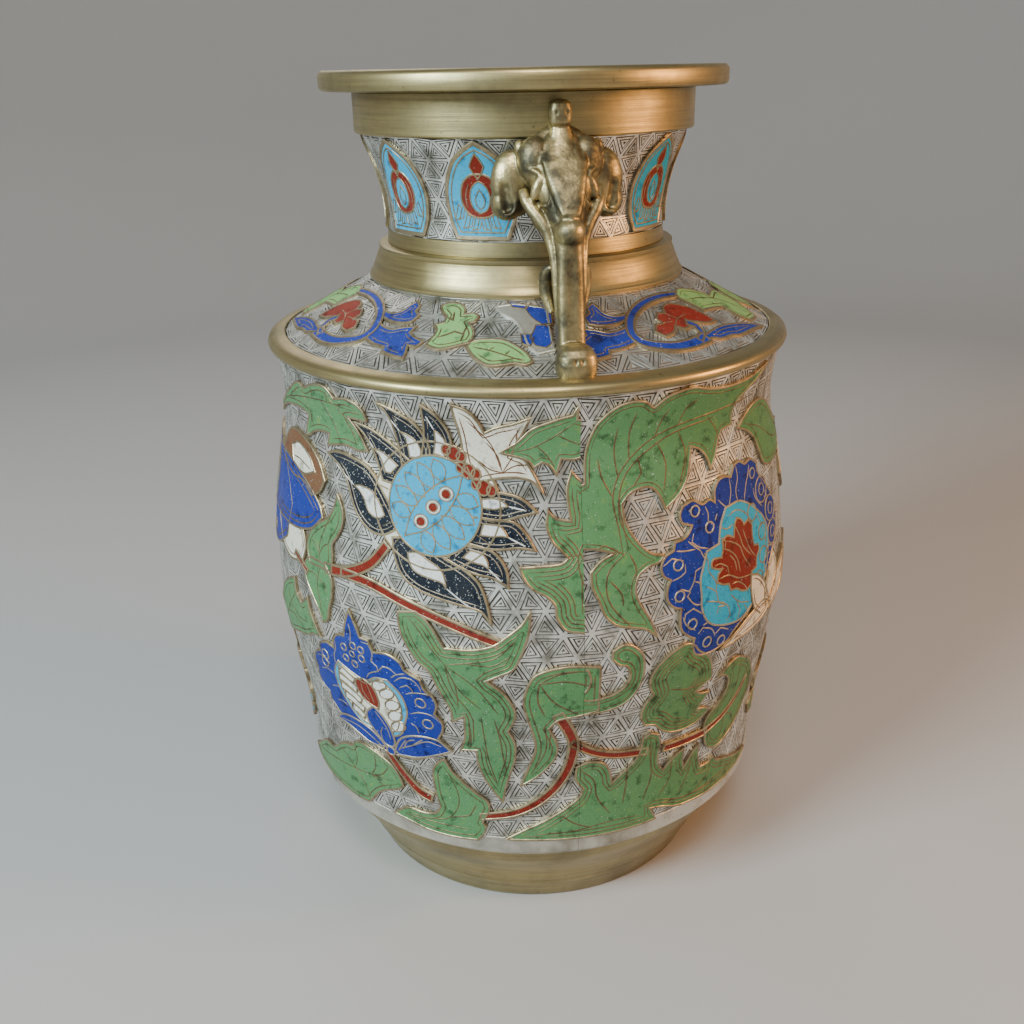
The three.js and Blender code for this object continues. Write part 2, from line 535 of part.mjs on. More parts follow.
function basePlate() {
  const bottom = flangeBottomZ + wall + fitClearance;
  const radius = drumBottomRadius - wall - 2 * fitClearance;
  const disc = new THREE.CylinderGeometry(radius, radius, basePlateThickness, segmentsRound);
  disc.rotateX(Math.PI / 2);
  disc.translate(0, 0, bottom + basePlateThickness / 2);
  return toSolid(disc);
}

// The drum's wall, with an inward flange that sits on the foot
function drumShell() {
  const curve = drumCurve();
  return revolve([
    [flangeInnerRadius, flangeBottomZ],
    [footTopRadius + flangeOverhang, flangeBottomZ],
    ...curve,
    ...inward(curve, wall).slice(0, -1),
    [drumBottomRadius - wall, flangeBottomZ + wall],
    [flangeInnerRadius, flangeBottomZ + wall],
  ]);
}

// The drum is cast in two halves, parted by a narrow upright seam under each handle
function drumHalf(side) {
  return drumShell().intersect(sideOfSeam(side, seamGap / 2));
}

function shoulderRidge() {
  const seatZ = drumTopZ + fitClearance;
  const drumMouthRadius = Math.min(drumTopRadius, drumRadiusAt(seatZ - lapHeight));
  const spigotRadius = drumMouthRadius - wall - fitClearance;
  const ledgeInnerRadius = Math.min(ridgeInnerRadius, spigotRadius) - ridgeLedgeWidth;
  return revolve([
    [ledgeInnerRadius, seatZ - lapHeight],
    [spigotRadius, seatZ - lapHeight],
    [spigotRadius, seatZ],
    [ridgeRadius - edgeRounding, seatZ],
    [ridgeRadius, seatZ + 0.5 * ridgeFaceHeight],
    [ridgeRadius - edgeRounding, seatZ + ridgeFaceHeight],
    [ridgeRadius - ridgeFaceHeight, seatZ + 1.4 * ridgeFaceHeight],
    [ridgeInnerRadius, shoulderFootZ],
    [ridgeInnerRadius, seatZ + ridgeLedgeHeight],
    [ledgeInnerRadius, seatZ + ridgeLedgeHeight],
  ]);
}

const shoulderEdgeRadius = ridgeInnerRadius - fitClearance;
const shoulderBoreRadius = collarBottomRadius - shoulderLedgeWidth;

function shoulderCurve() {
  return [
    [shoulderEdgeRadius, shoulderFootZ - shoulderEdgeDrop],
    [collarBottomRadius - collarOverhang, collarBottomZ - fitClearance],
  ];
}

function shoulderPlate() {
  const ledgeZ = drumTopZ + ridgeLedgeHeight + 2 * fitClearance;
  const [edge, top] = shoulderCurve();
  return revolve([
    [edge[0] - wall, ledgeZ],
    [edge[0], ledgeZ],
    edge,
    top,
    [shoulderBoreRadius, top[1]],
    [shoulderBoreRadius, top[1] - wall],
    [top[0] - flangeOverhang, top[1] - wall],
  ]);
}

function neckCollar() {
  const spigotRadius = shoulderBoreRadius - fitClearance;
  const bore = neckRootRadius - wall;
  const height = collarTopZ - collarBottomZ;
  return revolve([
    [bore, collarBottomZ - lapHeight],
    [spigotRadius, collarBottomZ - lapHeight],
    [spigotRadius, collarBottomZ],
    [collarBottomRadius, collarBottomZ],
    [collarBottomRadius, collarBottomZ + collarFootHeight],
    [collarBottomRadius - collarHollow, collarBottomZ + 0.5 * height],
    [collarTopRadius + collarOverhang, collarBottomZ + 0.76 * height],
    [collarTopRadius - edgeRounding, collarTopZ - collarLip],
    [collarTopRadius, collarTopZ],
    [bore, collarTopZ],
  ]);
}

const upperLapRadius = neckTopRadius - 0.9 * wall;

function neckWall() {
  const [root, waist, upper, top] = neckCurve();
  const lapOuter = neckRootRadius - wall - fitClearance;
  return revolve([
    [lapOuter - wall, collarTopZ - lapHeight],
    [lapOuter, collarTopZ - lapHeight],
    [lapOuter, root[1]],
    root,
    waist,
    upper,
    top,
    [upperLapRadius, top[1]],
    [upperLapRadius, bandBottomZ + lapHeight],
    [upperLapRadius - wall, bandBottomZ + lapHeight],
    [neckUpperRadius - wall, upper[1]],
    [neckWaistRadius - wall, waist[1]],
  ]);
}

const bandBore = upperLapRadius + fitClearance;

function neckBand() {
  return revolve([
    [bandBore, bandBottomZ],
    [bandRadius, bandBottomZ],
    [bandRadius, rimBottomZ - fitClearance],
    [bandBore, rimBottomZ - fitClearance],
  ]);
}

function mouthRim() {
  const spigotRadius = bandBore - fitClearance;
  return revolve([
    [spigotRadius - wall, rimBottomZ - lapHeight],
    [spigotRadius, rimBottomZ - lapHeight],
    [spigotRadius, rimBottomZ],
    [mouthRadius - edgeRounding, rimBottomZ],
    [mouthRadius, rimBottomZ + edgeRounding],
    [mouthRadius, rimTopZ - edgeRounding],
    [mouthRadius - edgeRounding, rimTopZ],
    [spigotRadius - wall, rimTopZ],
  ]);
}

// Elephant head handle, built on the +X side

// The round end of the trunk, with its flat ledge on top
function trunkEnd() {
  const ledgeX = trunkEndX - trunkEndRadius;
  const ledgeHalfWidth = trunkHalfWidth + 0.6;
  return joinAll([
    stackSlices([
      [trunkEndX, trunkEndFootZ, 0.55 * trunkEndRadius, 0.55 * trunkEndRadius],
      [trunkEndX, trunkEndFootZ + 0.25 * trunkEndRise, 0.92 * trunkEndRadius, 0.92 * trunkEndRadius],
      [trunkEndX, trunkEndFootZ + trunkEndRise, trunkEndRadius, trunkEndRadius],
    ], 12, 1),
    stackSlices([
      [ledgeX, trunkEndFootZ + 0.2 * trunkEndRise, trunkHalfWidth, ledgeHalfWidth],
      [ledgeX, trunkEndFootZ + trunkEndRise, trunkHalfWidth, ledgeHalfWidth],
    ], 8, 0.7),
  ]);
}

const earOutline = [
  [-6, 266], [-10, 260], [-13.6, 258.3], [-17.4, 259.6], [-19.6, 264.4], [-19.4, 271],
  [-17.4, 275.8], [-14, 277.8], [-6, 276],
];

// A round ear with a hollow face and an upright fold, clear of the enamel behind it
function ear() {
  const rimOfEar = pushOut(earOutline, earInnerX, earOuterX);
  const behind = inlayClearance + inlayThickness + fitClearance;
  const neckAndEnamel = layerOver(neckCurve(), -wall, behind);
  return rimOfEar.subtract(ball(earHollow)).add(ball(earFold)).subtract(neckAndEnamel);
}

function elephantHandle() {
  const socket = ball(eyeSocket);
  const head = stackSlices(headSlices).subtract(socket).subtract(socket.mirror([0, 1, 0]));
  const oneSide = joinAll([ball(eyeball), ear(), taperedRod(tuskRoute), taperedRod(curlRoute)]);
  const handle = joinAll([
    head, ball(foreheadBulge), ball(noseTip), oneSide, oneSide.mirror([0, 1, 0]),
    stackSlices(knobSlices, 8, 1), taperedRod(trunkScrollRoute), trunkEnd(),
  ]);
  return handle.subtract(vaseEnvelope());
}

// The space that the vase itself fills behind the handles, with the fitting clearance
function vaseEnvelope() {
  const gap = fitClearance;
  return revolve([
    [neckWaistRadius / 2, drumTopZ - lapHeight],
    [ridgeRadius + gap, drumTopZ - lapHeight],
    [ridgeRadius + gap, drumTopZ + ridgeFaceHeight + gap],
    [ridgeInnerRadius + gap, shoulderFootZ + 4 * gap],
    [collarBottomRadius + gap, collarBottomZ + 2 * gap],
    [collarBottomRadius + gap, collarBottomZ + collarFootHeight + edgeRounding],
    [collarTopRadius + collarLip, collarTopZ + gap],
    ...neckCurve().map(([radius, height]) => [radius + gap, height]),
    [bandRadius + gap, bandBottomZ - 2 * gap],
    [bandRadius + gap, rimBottomZ],
    [neckWaistRadius / 2, rimBottomZ],
  ]);
}

// Enamel inlays

function middleAngle(points) {
  const angles = points.map((point) => point[0]);
  return (Math.min(...angles) + Math.max(...angles)) / 2;
}

// The same outline without the points that lie within the tolerance of the line past them
function withoutSmallSteps(flat) {
  const farthest = flat.map(([x, y]) => Math.hypot(x - flat[0][0], y - flat[0][1]));
  const split = farthest.indexOf(Math.max(...farthest));
  const keep = (from, to) => {
    const [startX, startY] = flat[from];
    const [endX, endY] = flat[to % flat.length];
    const length = Math.hypot(endX - startX, endY - startY);
    let widest = 0;
    let widestAt = from;
    for (let i = from + 1; i < to; i += 1) {
      const area = (flat[i][0] - startX) * (endY - startY) - (flat[i][1] - startY) * (endX - startX);
      const distance = Math.abs(area) / length;
      if (distance > widest) {
        widest = distance;
        widestAt = i;
      }
    }
    if (widest < outlineTolerance) {
      return [flat[from]];
    }
    return [...keep(from, widestAt), ...keep(widestAt, to)];
  };
  return [...keep(0, split), ...keep(split, flat.length)];
}

function turnedTo(solid, drawnAngle) {
  return solid.rotate([0, 0, drawnAngle - drawnHandleAngle]);
}

// An outline drawn on the drum, pushed out through the wall at its own middle angle
function drumBlock(points) {
  const middle = middleAngle(points);
  const stretch = (drumTopZ - drumBottomZ) / (drawnTopZ - drawnBottomZ);
  const flat = points.map(([angle, height]) => {
    const z = drumBottomZ + (height - drawnBottomZ) * stretch;
    return [drumRadiusAt(z) * Math.sin(THREE.MathUtils.degToRad(angle - middle)), z];
  });
  const block = pushOut(withoutSmallSteps(flat), drumBottomRadius / 2, widestDrumRadius + wall);
  return turnedTo(block, middle);
}

const widestDrumRadius = Math.max(...drumCurve().map(([radius]) => radius));
// The same outline made larger about its middle
function grown(points, share) {
  const [sumAngle, sumHeight] = points.reduce(([a, z], point) => [a + point[0], z + point[1]], [0, 0]);
  const [middle, height] = [sumAngle / points.length, sumHeight / points.length];
  return points.map(([a, z]) => [middle + (a - middle) * share, height + (z - height) * share]);
}

const drumInlayLayer = layerOver(drumCurve(), inlayClearance, inlayClearance + inlayThickness);

function drumInlay(outlines, side, neighbours = []) {
  const blocks = joinAll(outlines.map(drumBlock));
  const inlay = blocks.intersect(drumInlayLayer).intersect(sideOfSeam(side, seamGap / 2));
  return neighbours.reduce((left, points) => left.subtract(drumBlock(grown(points, leafGrowth))), inlay);
}

function shoulderInlayLayer() {
  const [[edgeRadius, edgeZ], [topRadius, topZ]] = shoulderCurve();
  const from = inlayClearance;
  const to = inlayClearance + inlayThickness;
  return revolve([
    [topRadius + 1, topZ + from],
    [edgeRadius, edgeZ + from],
    [edgeRadius, edgeZ + to],
    [topRadius + 1, topZ + to],
  ]);
}

// An outline drawn on the shoulder as angles and radii, kept clear of the handle's foot
function shoulderInlay(outlines, side) {
  const stretch = (ridgeInnerRadius - collarBottomRadius) / (drawnOuterRadius - drawnInnerRadius);
  const blocks = outlines.map((points) => {
    const flat = points.map(([angle, drawnRadius]) => {
      const turn = THREE.MathUtils.degToRad(angle - drawnHandleAngle);
      const radius = collarBottomRadius + (drawnRadius - drawnInnerRadius) * stretch;
      return [radius * Math.cos(turn), radius * Math.sin(turn)];
    });
    const geometry = new THREE.ExtrudeGeometry(toShape(withoutSmallSteps(flat)), {
      depth: collarTopZ - drumTopZ, bevelEnabled: false,
    });
    geometry.translate(0, 0, drumTopZ);
    return toSolid(geometry);
  });
  const clearOfHandle = sideOfSeam(side, trunkEndRadius + 2 * fitClearance);
  return joinAll(blocks).intersect(shoulderInlayLayer()).intersect(clearOfHandle);
}

// The right palmette is the left one mirrored about this drawn angle
const shoulderMirrorAngle = -8;

function mirrored(points) {
  return points.map(([angle, radius]) => [2 * shoulderMirrorAngle - angle, radius]).reverse();
}

// A smooth ribbon along a route of (angle, height) points, with a width at each end
function stem({ route, widths }) {
  const millimetresPerDegree = (Math.PI / 180) * drumBellyRadius;
  const flat = route.map(([angle, height]) => new THREE.Vector2(angle * millimetresPerDegree, height));
  const curve = new THREE.SplineCurve(flat);
  const steps = route.length + 1;
  const upperEdge = [];
  const lowerEdge = [];
  for (let i = 0; i <= steps; i += 1) {
    const share = i / steps;
    const middle = curve.getPoint(share);
    const along = curve.getTangent(share);
    const half = (widths[0] + (widths[1] - widths[0]) * share) / 2;
    const [offX, offZ] = [-along.y * half, along.x * half];
    upperEdge.push([(middle.x + offX) / millimetresPerDegree, middle.y + offZ]);
    lowerEdge.push([(middle.x - offX) / millimetresPerDegree, middle.y - offZ]);
  }
  return [...lowerEdge, ...upperEdge.reverse()];
}

function ovalOutline({ angle, height, halfAngle, halfHeight }, points) {
  return Array.from({ length: points }, (unused, i) => {
    const turn = (2 * Math.PI * i) / points;
    return [angle + halfAngle * Math.cos(turn), height + halfHeight * Math.sin(turn)];
  });
}

// A flower head whose edge is a ring of round lobes
function scallopedOutline({ angle, height, halfAngle, halfHeight, lobes, lobeRadius }) {
  const millimetresPerDegree = (Math.PI / 180) * drumBellyRadius;
  const points = [];
  for (let i = 0; i < lobes; i += 1) {
    const lobeTurn = (2 * Math.PI * i) / lobes;
    for (const bulge of [-80, 0, 80]) {
      const turn = lobeTurn + THREE.MathUtils.degToRad(bulge);
      const reach = bulge === 0 ? 0.5 * lobeRadius : 0.72 * lobeRadius;
      points.push([
        angle + (halfAngle - 0.5 * lobeRadius / millimetresPerDegree) * Math.cos(lobeTurn)
          + (reach / millimetresPerDegree) * Math.cos(turn),
        height + (halfHeight - 0.5 * lobeRadius) * Math.sin(lobeTurn) + reach * Math.sin(turn),
      ]);
    }
  }
  return points;
}

function medallionOutline() {
  const half = medallionWidth / 2;
  const rise = [[0, 0], [0.78, 0], [0.98, 0.22], [1, 0.5], [0.7, 0.78], [0.32, 0.92]];
  const rightSide = rise.map(([across, up]) => [half * across, medallionFootZ + medallionHeight * up]);
  const leftSide = rightSide.slice(1).map(([across, up]) => [-across, up]).reverse();
  return [...rightSide.slice(1), [0, medallionFootZ + medallionHeight], ...leftSide];
}

function neckMedallion(drawnAngle) {
  const layer = layerOver(neckCurve(), inlayClearance, inlayClearance + inlayThickness);
  const block = pushOut(medallionOutline(), neckWaistRadius / 2, mouthRadius);
  return turnedTo(block, drawnAngle).intersect(layer);
}

// What one half-turn of the decoration holds; front is the seam's -Y side at the right handle.
// The leaves beside the scalloped flower are trimmed clear of it.
function halfTurnInlays() {
  const front = -1;
  const back = 1;
  const darkFlower = [
    ...flowerPetals,
    ovalOutline(flowerDisc, 14),
    ...flowerBeads.map(([angle, height]) => ovalOutline({ angle, height, halfAngle: 2, halfHeight: 3.4 }, 6)),
    creamSprig,
    seamLeaf,
  ];
  const leafBranch = [leafPairUpper, leafPairLower, stem(leftStem), stem(rightStem), longLeaf];
  const centreBranch = [centreLeaf, stem(seamStem), stem(nearStem), bottomLeaf];
  const lotusPetals = lotusPetalSteps.map((petal) => petal.map(([right, up]) => (
    [bigFlower.angle + right, bigFlower.height + up]
  )));
  const bigBloom = [scallopedOutline(bigFlower), ...lotusPetals];
  const hangingFlower = [sideLeaf, farSideLeaf, stem(hangingStem), scallopedOutline(lowFlower), sprayLeaf];
  return [
    ['top_leaf', drumInlay([topLeaf], front), greenEnamel],
    ['dark_flower', drumInlay(darkFlower, front), blackEnamel],
    ['seam_lobes', drumInlay([seamLobes], front), greenEnamel],
    ['blue_lotus', drumInlay([blueLotus, stem(lotusStem)], front), cobaltEnamel],
    ['leaf_branch', drumInlay(leafBranch, front), greenEnamel],
    ['centre_branch', drumInlay(centreBranch, front), greenEnamel],
    ['bottom_leaf_tip', drumInlay([bottomAcanthusTip], front), greenEnamel],
    ['side_bottom_leaf', drumInlay([sideBottomLeaf], front), greenEnamel],
    ['hanging_flower', drumInlay(hangingFlower, front), turquoiseEnamel],
    ['side_lotus', drumInlay([...sideLotusPetals, sideLotusLeaf], front), cobaltEnamel],
    ['acanthus', drumInlay([acanthus], back, bigBloom), greenEnamel],
    ['scalloped_flower', drumInlay(bigBloom, back), cobaltEnamel],
    ['round_leaf', drumInlay([roundLeaf], back, bigBloom), greenEnamel],
    ['lower_leaf', drumInlay([lowerLeaf, stem(farStem)], back, bigBloom), greenEnamel],
    ['bottom_acanthus', drumInlay([bottomAcanthus, stem(nearStem)], back), greenEnamel],
    ['curl', drumInlay([curl, centreLeaf], back), greenEnamel],
    ['front_palmette', shoulderInlay([palmette, palmetteLeaf], front), cobaltEnamel],
    ['back_palmette', shoulderInlay([mirrored(palmette), mirrored(palmetteLeaf)], back), cobaltEnamel],
    ['shoulder_leaf', shoulderInlay([middleLeaf], front), greenEnamel],
    ['shoulder_scroll', shoulderInlay([smallScroll], front), cobaltEnamel],
  ];
}

const group = new THREE.Group();
group.add(toMesh('foot_ring', footRing(), bronze));
group.add(toMesh('base_plate', basePlate(), bronze));
group.add(toMesh('drum_front', drumHalf(-1), silveredBronze));
group.add(toMesh('drum_back', drumHalf(1), silveredBronze));
group.add(toMesh('shoulder_ridge', shoulderRidge(), bronze));
group.add(toMesh('shoulder_plate', shoulderPlate(), silveredBronze));
group.add(toMesh('neck_collar', neckCollar(), bronze));
group.add(toMesh('neck_wall', neckWall(), silveredBronze));
group.add(toMesh('neck_band', neckBand(), bronze));
group.add(toMesh('mouth_rim', mouthRim(), bronze));

const rightHandle = elephantHandle();
group.add(toMesh('handle_right', rightHandle, bronze));
group.add(toMesh('handle_left', rightHandle.rotate([0, 0, 180]), bronze));

// The medallions that would lie behind a handle are left off the ring
for (let i = 1; i < medallionsRound; i += 1) {
  if (i !== medallionsRound / 2) {
    const angle = drawnHandleAngle + medallionStartAngle + (360 * i) / medallionsRound;
    group.add(toMesh(`neck_medallion_${i}`, neckMedallion(angle), turquoiseEnamel));
  }
}

// The same half-turn of decoration goes round each handle
for (const [name, solid, look] of halfTurnInlays()) {
  group.add(toMesh(`${name}_right`, solid, look));
  group.add(toMesh(`${name}_left`, solid.rotate([0, 0, 180]), look));
}

export default group;
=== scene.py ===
import math
import bpy
import bmesh
import numpy as np
from mathutils import Matrix, Vector, noise
from mathutils.bvhtree import BVHTree
from mathutils.geometry import delaunay_2d_cdt


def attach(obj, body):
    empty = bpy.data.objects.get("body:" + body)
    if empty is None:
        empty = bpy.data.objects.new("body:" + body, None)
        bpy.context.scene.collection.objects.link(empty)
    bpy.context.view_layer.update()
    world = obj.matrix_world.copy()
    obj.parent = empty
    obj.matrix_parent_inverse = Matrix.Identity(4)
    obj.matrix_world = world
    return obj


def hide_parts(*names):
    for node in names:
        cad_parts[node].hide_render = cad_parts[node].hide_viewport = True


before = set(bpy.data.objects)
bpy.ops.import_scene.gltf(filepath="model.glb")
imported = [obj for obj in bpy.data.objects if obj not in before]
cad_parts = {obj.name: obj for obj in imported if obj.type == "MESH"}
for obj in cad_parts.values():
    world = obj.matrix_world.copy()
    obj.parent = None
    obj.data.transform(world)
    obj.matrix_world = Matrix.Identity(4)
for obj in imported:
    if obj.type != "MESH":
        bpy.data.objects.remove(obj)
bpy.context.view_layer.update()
print("frame loaded")

mm = 0.001

# the photograph's viewpoint, from the fitted outline of the vase
viewpoint = {
    "azimuth": 80.0,          # degrees round from straight in front, handles lie on X
    "distance": 0.4085,       # from the vase's axis
    "height": 0.3004,
    "pitchDown": 22.11,
    "yawLeft": 0.76,
    "roll": -1.09,
    "lens": 38.52,
    "shift": (-0.0036, -0.0012),
}


def placeCamera(v):
    data = bpy.data.cameras.new("photoCamera")
    data.sensor_width = 36.0
    data.lens = v["lens"]
    data.shift_x, data.shift_y = v["shift"]
    data.clip_start = 0.01
    cam = bpy.data.objects.new("photoCamera", data)
    bpy.context.scene.collection.objects.link(cam)
    yaw = math.radians(v["yawLeft"])
    pitch = math.radians(v["pitchDown"])
    roll = math.radians(v["roll"])
    level = Vector((-math.sin(yaw), math.cos(yaw), 0))
    right = Vector((math.cos(yaw), math.sin(yaw), 0))
    up = level * math.sin(pitch) + Vector((0, 0, 1)) * math.cos(pitch)
    rolledRight = right * math.cos(roll) + up * math.sin(roll)
    rolledUp = up * math.cos(roll) - right * math.sin(roll)
    back = rolledRight.cross(rolledUp)
    turn = Matrix((rolledRight, rolledUp, back)).transposed().to_4x4()
    around = Matrix.Rotation(math.radians(v["azimuth"]), 4, "Z")
    cam.matrix_world = around @ Matrix.Translation((0, -v["distance"], v["height"])) @ turn
    bpy.context.scene.camera = cam


placeCamera(viewpoint)

# form of the vase in millimetres: outer curves as (height, radius)
form = {
    "drum": [
        (39.4, 91.2), (68.1, 92.2), (93, 96), (118.8, 99.2),
        (145.9, 97.6), (170, 93.6), (191.5, 91), (208.4, 93.2),
    ],
    "neck": [(242.75, 49.9), (253.9, 49.3), (267, 51.8), (279.85, 57)],
    "shoulder": [(212.9, 88.75), (230.45, 56.4)],
    "shoulderRelief": 0.7,    # the shoulder's plates are this much flatter than the drum's
    "handleAngle": 10,        # the drawing's degrees at which the right handle stands
    "lipTop": 45.6,           # plain lip at the drum's foot
    "neckPlainTop": 247.6,    # plain root of the neck below its engraving
    "seamHalfGap": 0.06,      # between the drum's two half shells
}


def smoothTable(stations, steps=240):
    # a soft curve through the stations, kept as a fine table of heights and radii
    z = np.array([s[0] for s in stations], float)
    r = np.array([s[1] for s in stations], float)
    slopes = np.gradient(r, z)
    fine = np.linspace(z[0], z[-1], steps)
    i = np.clip(np.searchsorted(z, fine) - 1, 0, len(z) - 2)
    span = z[i + 1] - z[i]
    t = (fine - z[i]) / span
    a = (2 * t ** 3 - 3 * t ** 2 + 1) * r[i] + (t ** 3 - 2 * t ** 2 + t) * span * slopes[i]
    b = (3 * t ** 2 - 2 * t ** 3) * r[i + 1] + (t ** 3 - t ** 2) * span * slopes[i + 1]
    return fine, a + b


drumTable = smoothTable(form["drum"])
neckTable = smoothTable(form["neck"])
drumScale = math.radians(96.0)      # millimetres per degree where the drum is drawn flat
neckScale = math.radians(52.0)


# Each surface takes a flat point (millimetres across, millimetres up) and a height over the wall

def aroundAxis(radius, angle, height, unit=mm):
    return (radius * math.cos(angle) * unit, radius * math.sin(angle) * unit, height * unit)


def onTurned(table, scale, x, y, lift):
    radius = float(np.interp(y, table[0], table[1])) + lift
    return aroundAxis(radius, math.radians(x / scale - form["handleAngle"]), y)


def onDrum(x, y, lift):
    return onTurned(drumTable, drumScale, x, y, lift)


def onNeck(x, y, lift):
    return onTurned(neckTable, neckScale, x, y, lift)


def onShoulder(x, y, lift):
    (footZ, footR), (topZ, topR) = form["shoulder"]
    share = (math.hypot(x, y) - footR) / (topR - footR)
    return (x * mm, y * mm, (footZ + share * (topZ - footZ) + form["shoulderRelief"] * lift) * mm)


def drumFlat(points):
    return [(a * drumScale, z) for a, z in points]


def shoulderFlat(points):
    flat = []
    for a, r in points:
        turn = math.radians(a - form["handleAngle"])
        flat.append((r * math.cos(turn), r * math.sin(turn)))
    return flat


# Line work

lineStyle = {
    "cornerTurn": 46,         # an outline turns sharper than this only at a real corner
    "step": 1.0,              # length of a short stretch of a smoothed outline
    "veinStep": 0.9,
    "stemStep": 1.2,
    "contourStep": 1.3,
    "fillSpacing": 2.6,
    "fillRows": 0.87,         # distance of the rows of inner points, as a share of their spacing
    "fillMargin": 0.55,
    "enamelLift": 0.95,
    "levelRise": 0.05,
    "wireRise": 0.14,
    "wireWidth": 0.9,
    "wireFoot": -0.3,
    "innerDrop": 0.2,
    "stemWireWidth": 1.0,
    "veinWidth": 0.6,
    "veinRise": 0.07,
    "veinTaper": 0.35,        # share of its width that a vein has at its ends
}


def signedArea(points):
    x = np.array([p[0] for p in points])
    y = np.array([p[1] for p in points])
    return 0.5 * float(np.sum(x * np.roll(y, -1) - np.roll(x, -1) * y))


def leftward(outline):
    # the same outline, run so that its inside lies to the left
    return outline if signedArea(outline) >= 0 else outline[::-1]


def liftOf(level):
    # height over the wall of the enamel on one of the stacked levels
    return lineStyle["enamelLift"] + level * lineStyle["levelRise"]


def smoothLine(points, closed, step=None):
    # soft curve through the points that stays sharp at real corners
    step = step or lineStyle["step"]
    pts = [Vector((p[0], p[1])) for p in points]
    n = len(pts)
    corner = []
    for i in range(n):
        if not closed and i in (0, n - 1):
            corner.append(True)
            continue
        before = pts[i] - pts[i - 1]
        after = pts[(i + 1) % n] - pts[i]
        turn = abs(math.degrees(before.angle_signed(after, 0)))
        corner.append(turn > lineStyle["cornerTurn"])
    line = []
    for i in range(n if closed else n - 1):
        p1, p2 = pts[i], pts[(i + 1) % n]
        span = (p2 - p1).length
        if span < 1e-6:
            continue
        m1 = m2 = p2 - p1
        if not corner[i]:
            p0 = pts[i - 1]
            m1 = (p2 - p0) * (span / (span + (p1 - p0).length))
        if not corner[(i + 1) % n]:
            p3 = pts[(i + 2) % n]
            m2 = (p3 - p1) * (span / (span + (p3 - p2).length))
        for k in range(max(1, round(span / step))):
            t = k / max(1, round(span / step))
            line.append(
                (2 * t ** 3 - 3 * t ** 2 + 1) * p1 + (t ** 3 - 2 * t ** 2 + t) * m1
                + (3 * t ** 2 - 2 * t ** 3) * p2 + (t ** 3 - t ** 2) * m2
            )
    if not closed:
        line.append(pts[-1])
    return line


def sideways(line, closed):
    # unit normals to the right of the way the line runs, longer at corners
    n = len(line)
    normals = []
    for i in range(n):
        before = line[i] - line[i - 1] if closed or i > 0 else line[1] - line[0]
        after = line[(i + 1) % n] - line[i] if closed or i < n - 1 else line[-1] - line[-2]
        a = before.normalized() if before.length > 1e-9 else after.normalized()
        b = after.normalized() if after.length > 1e-9 else a
        mid = a + b
        mid = mid.normalized() if mid.length > 0.05 else b
        stretch = min(1.9, 1 / max(0.3, mid.dot(b)))
        normals.append(Vector((mid.y, -mid.x)) * stretch)
    return normals


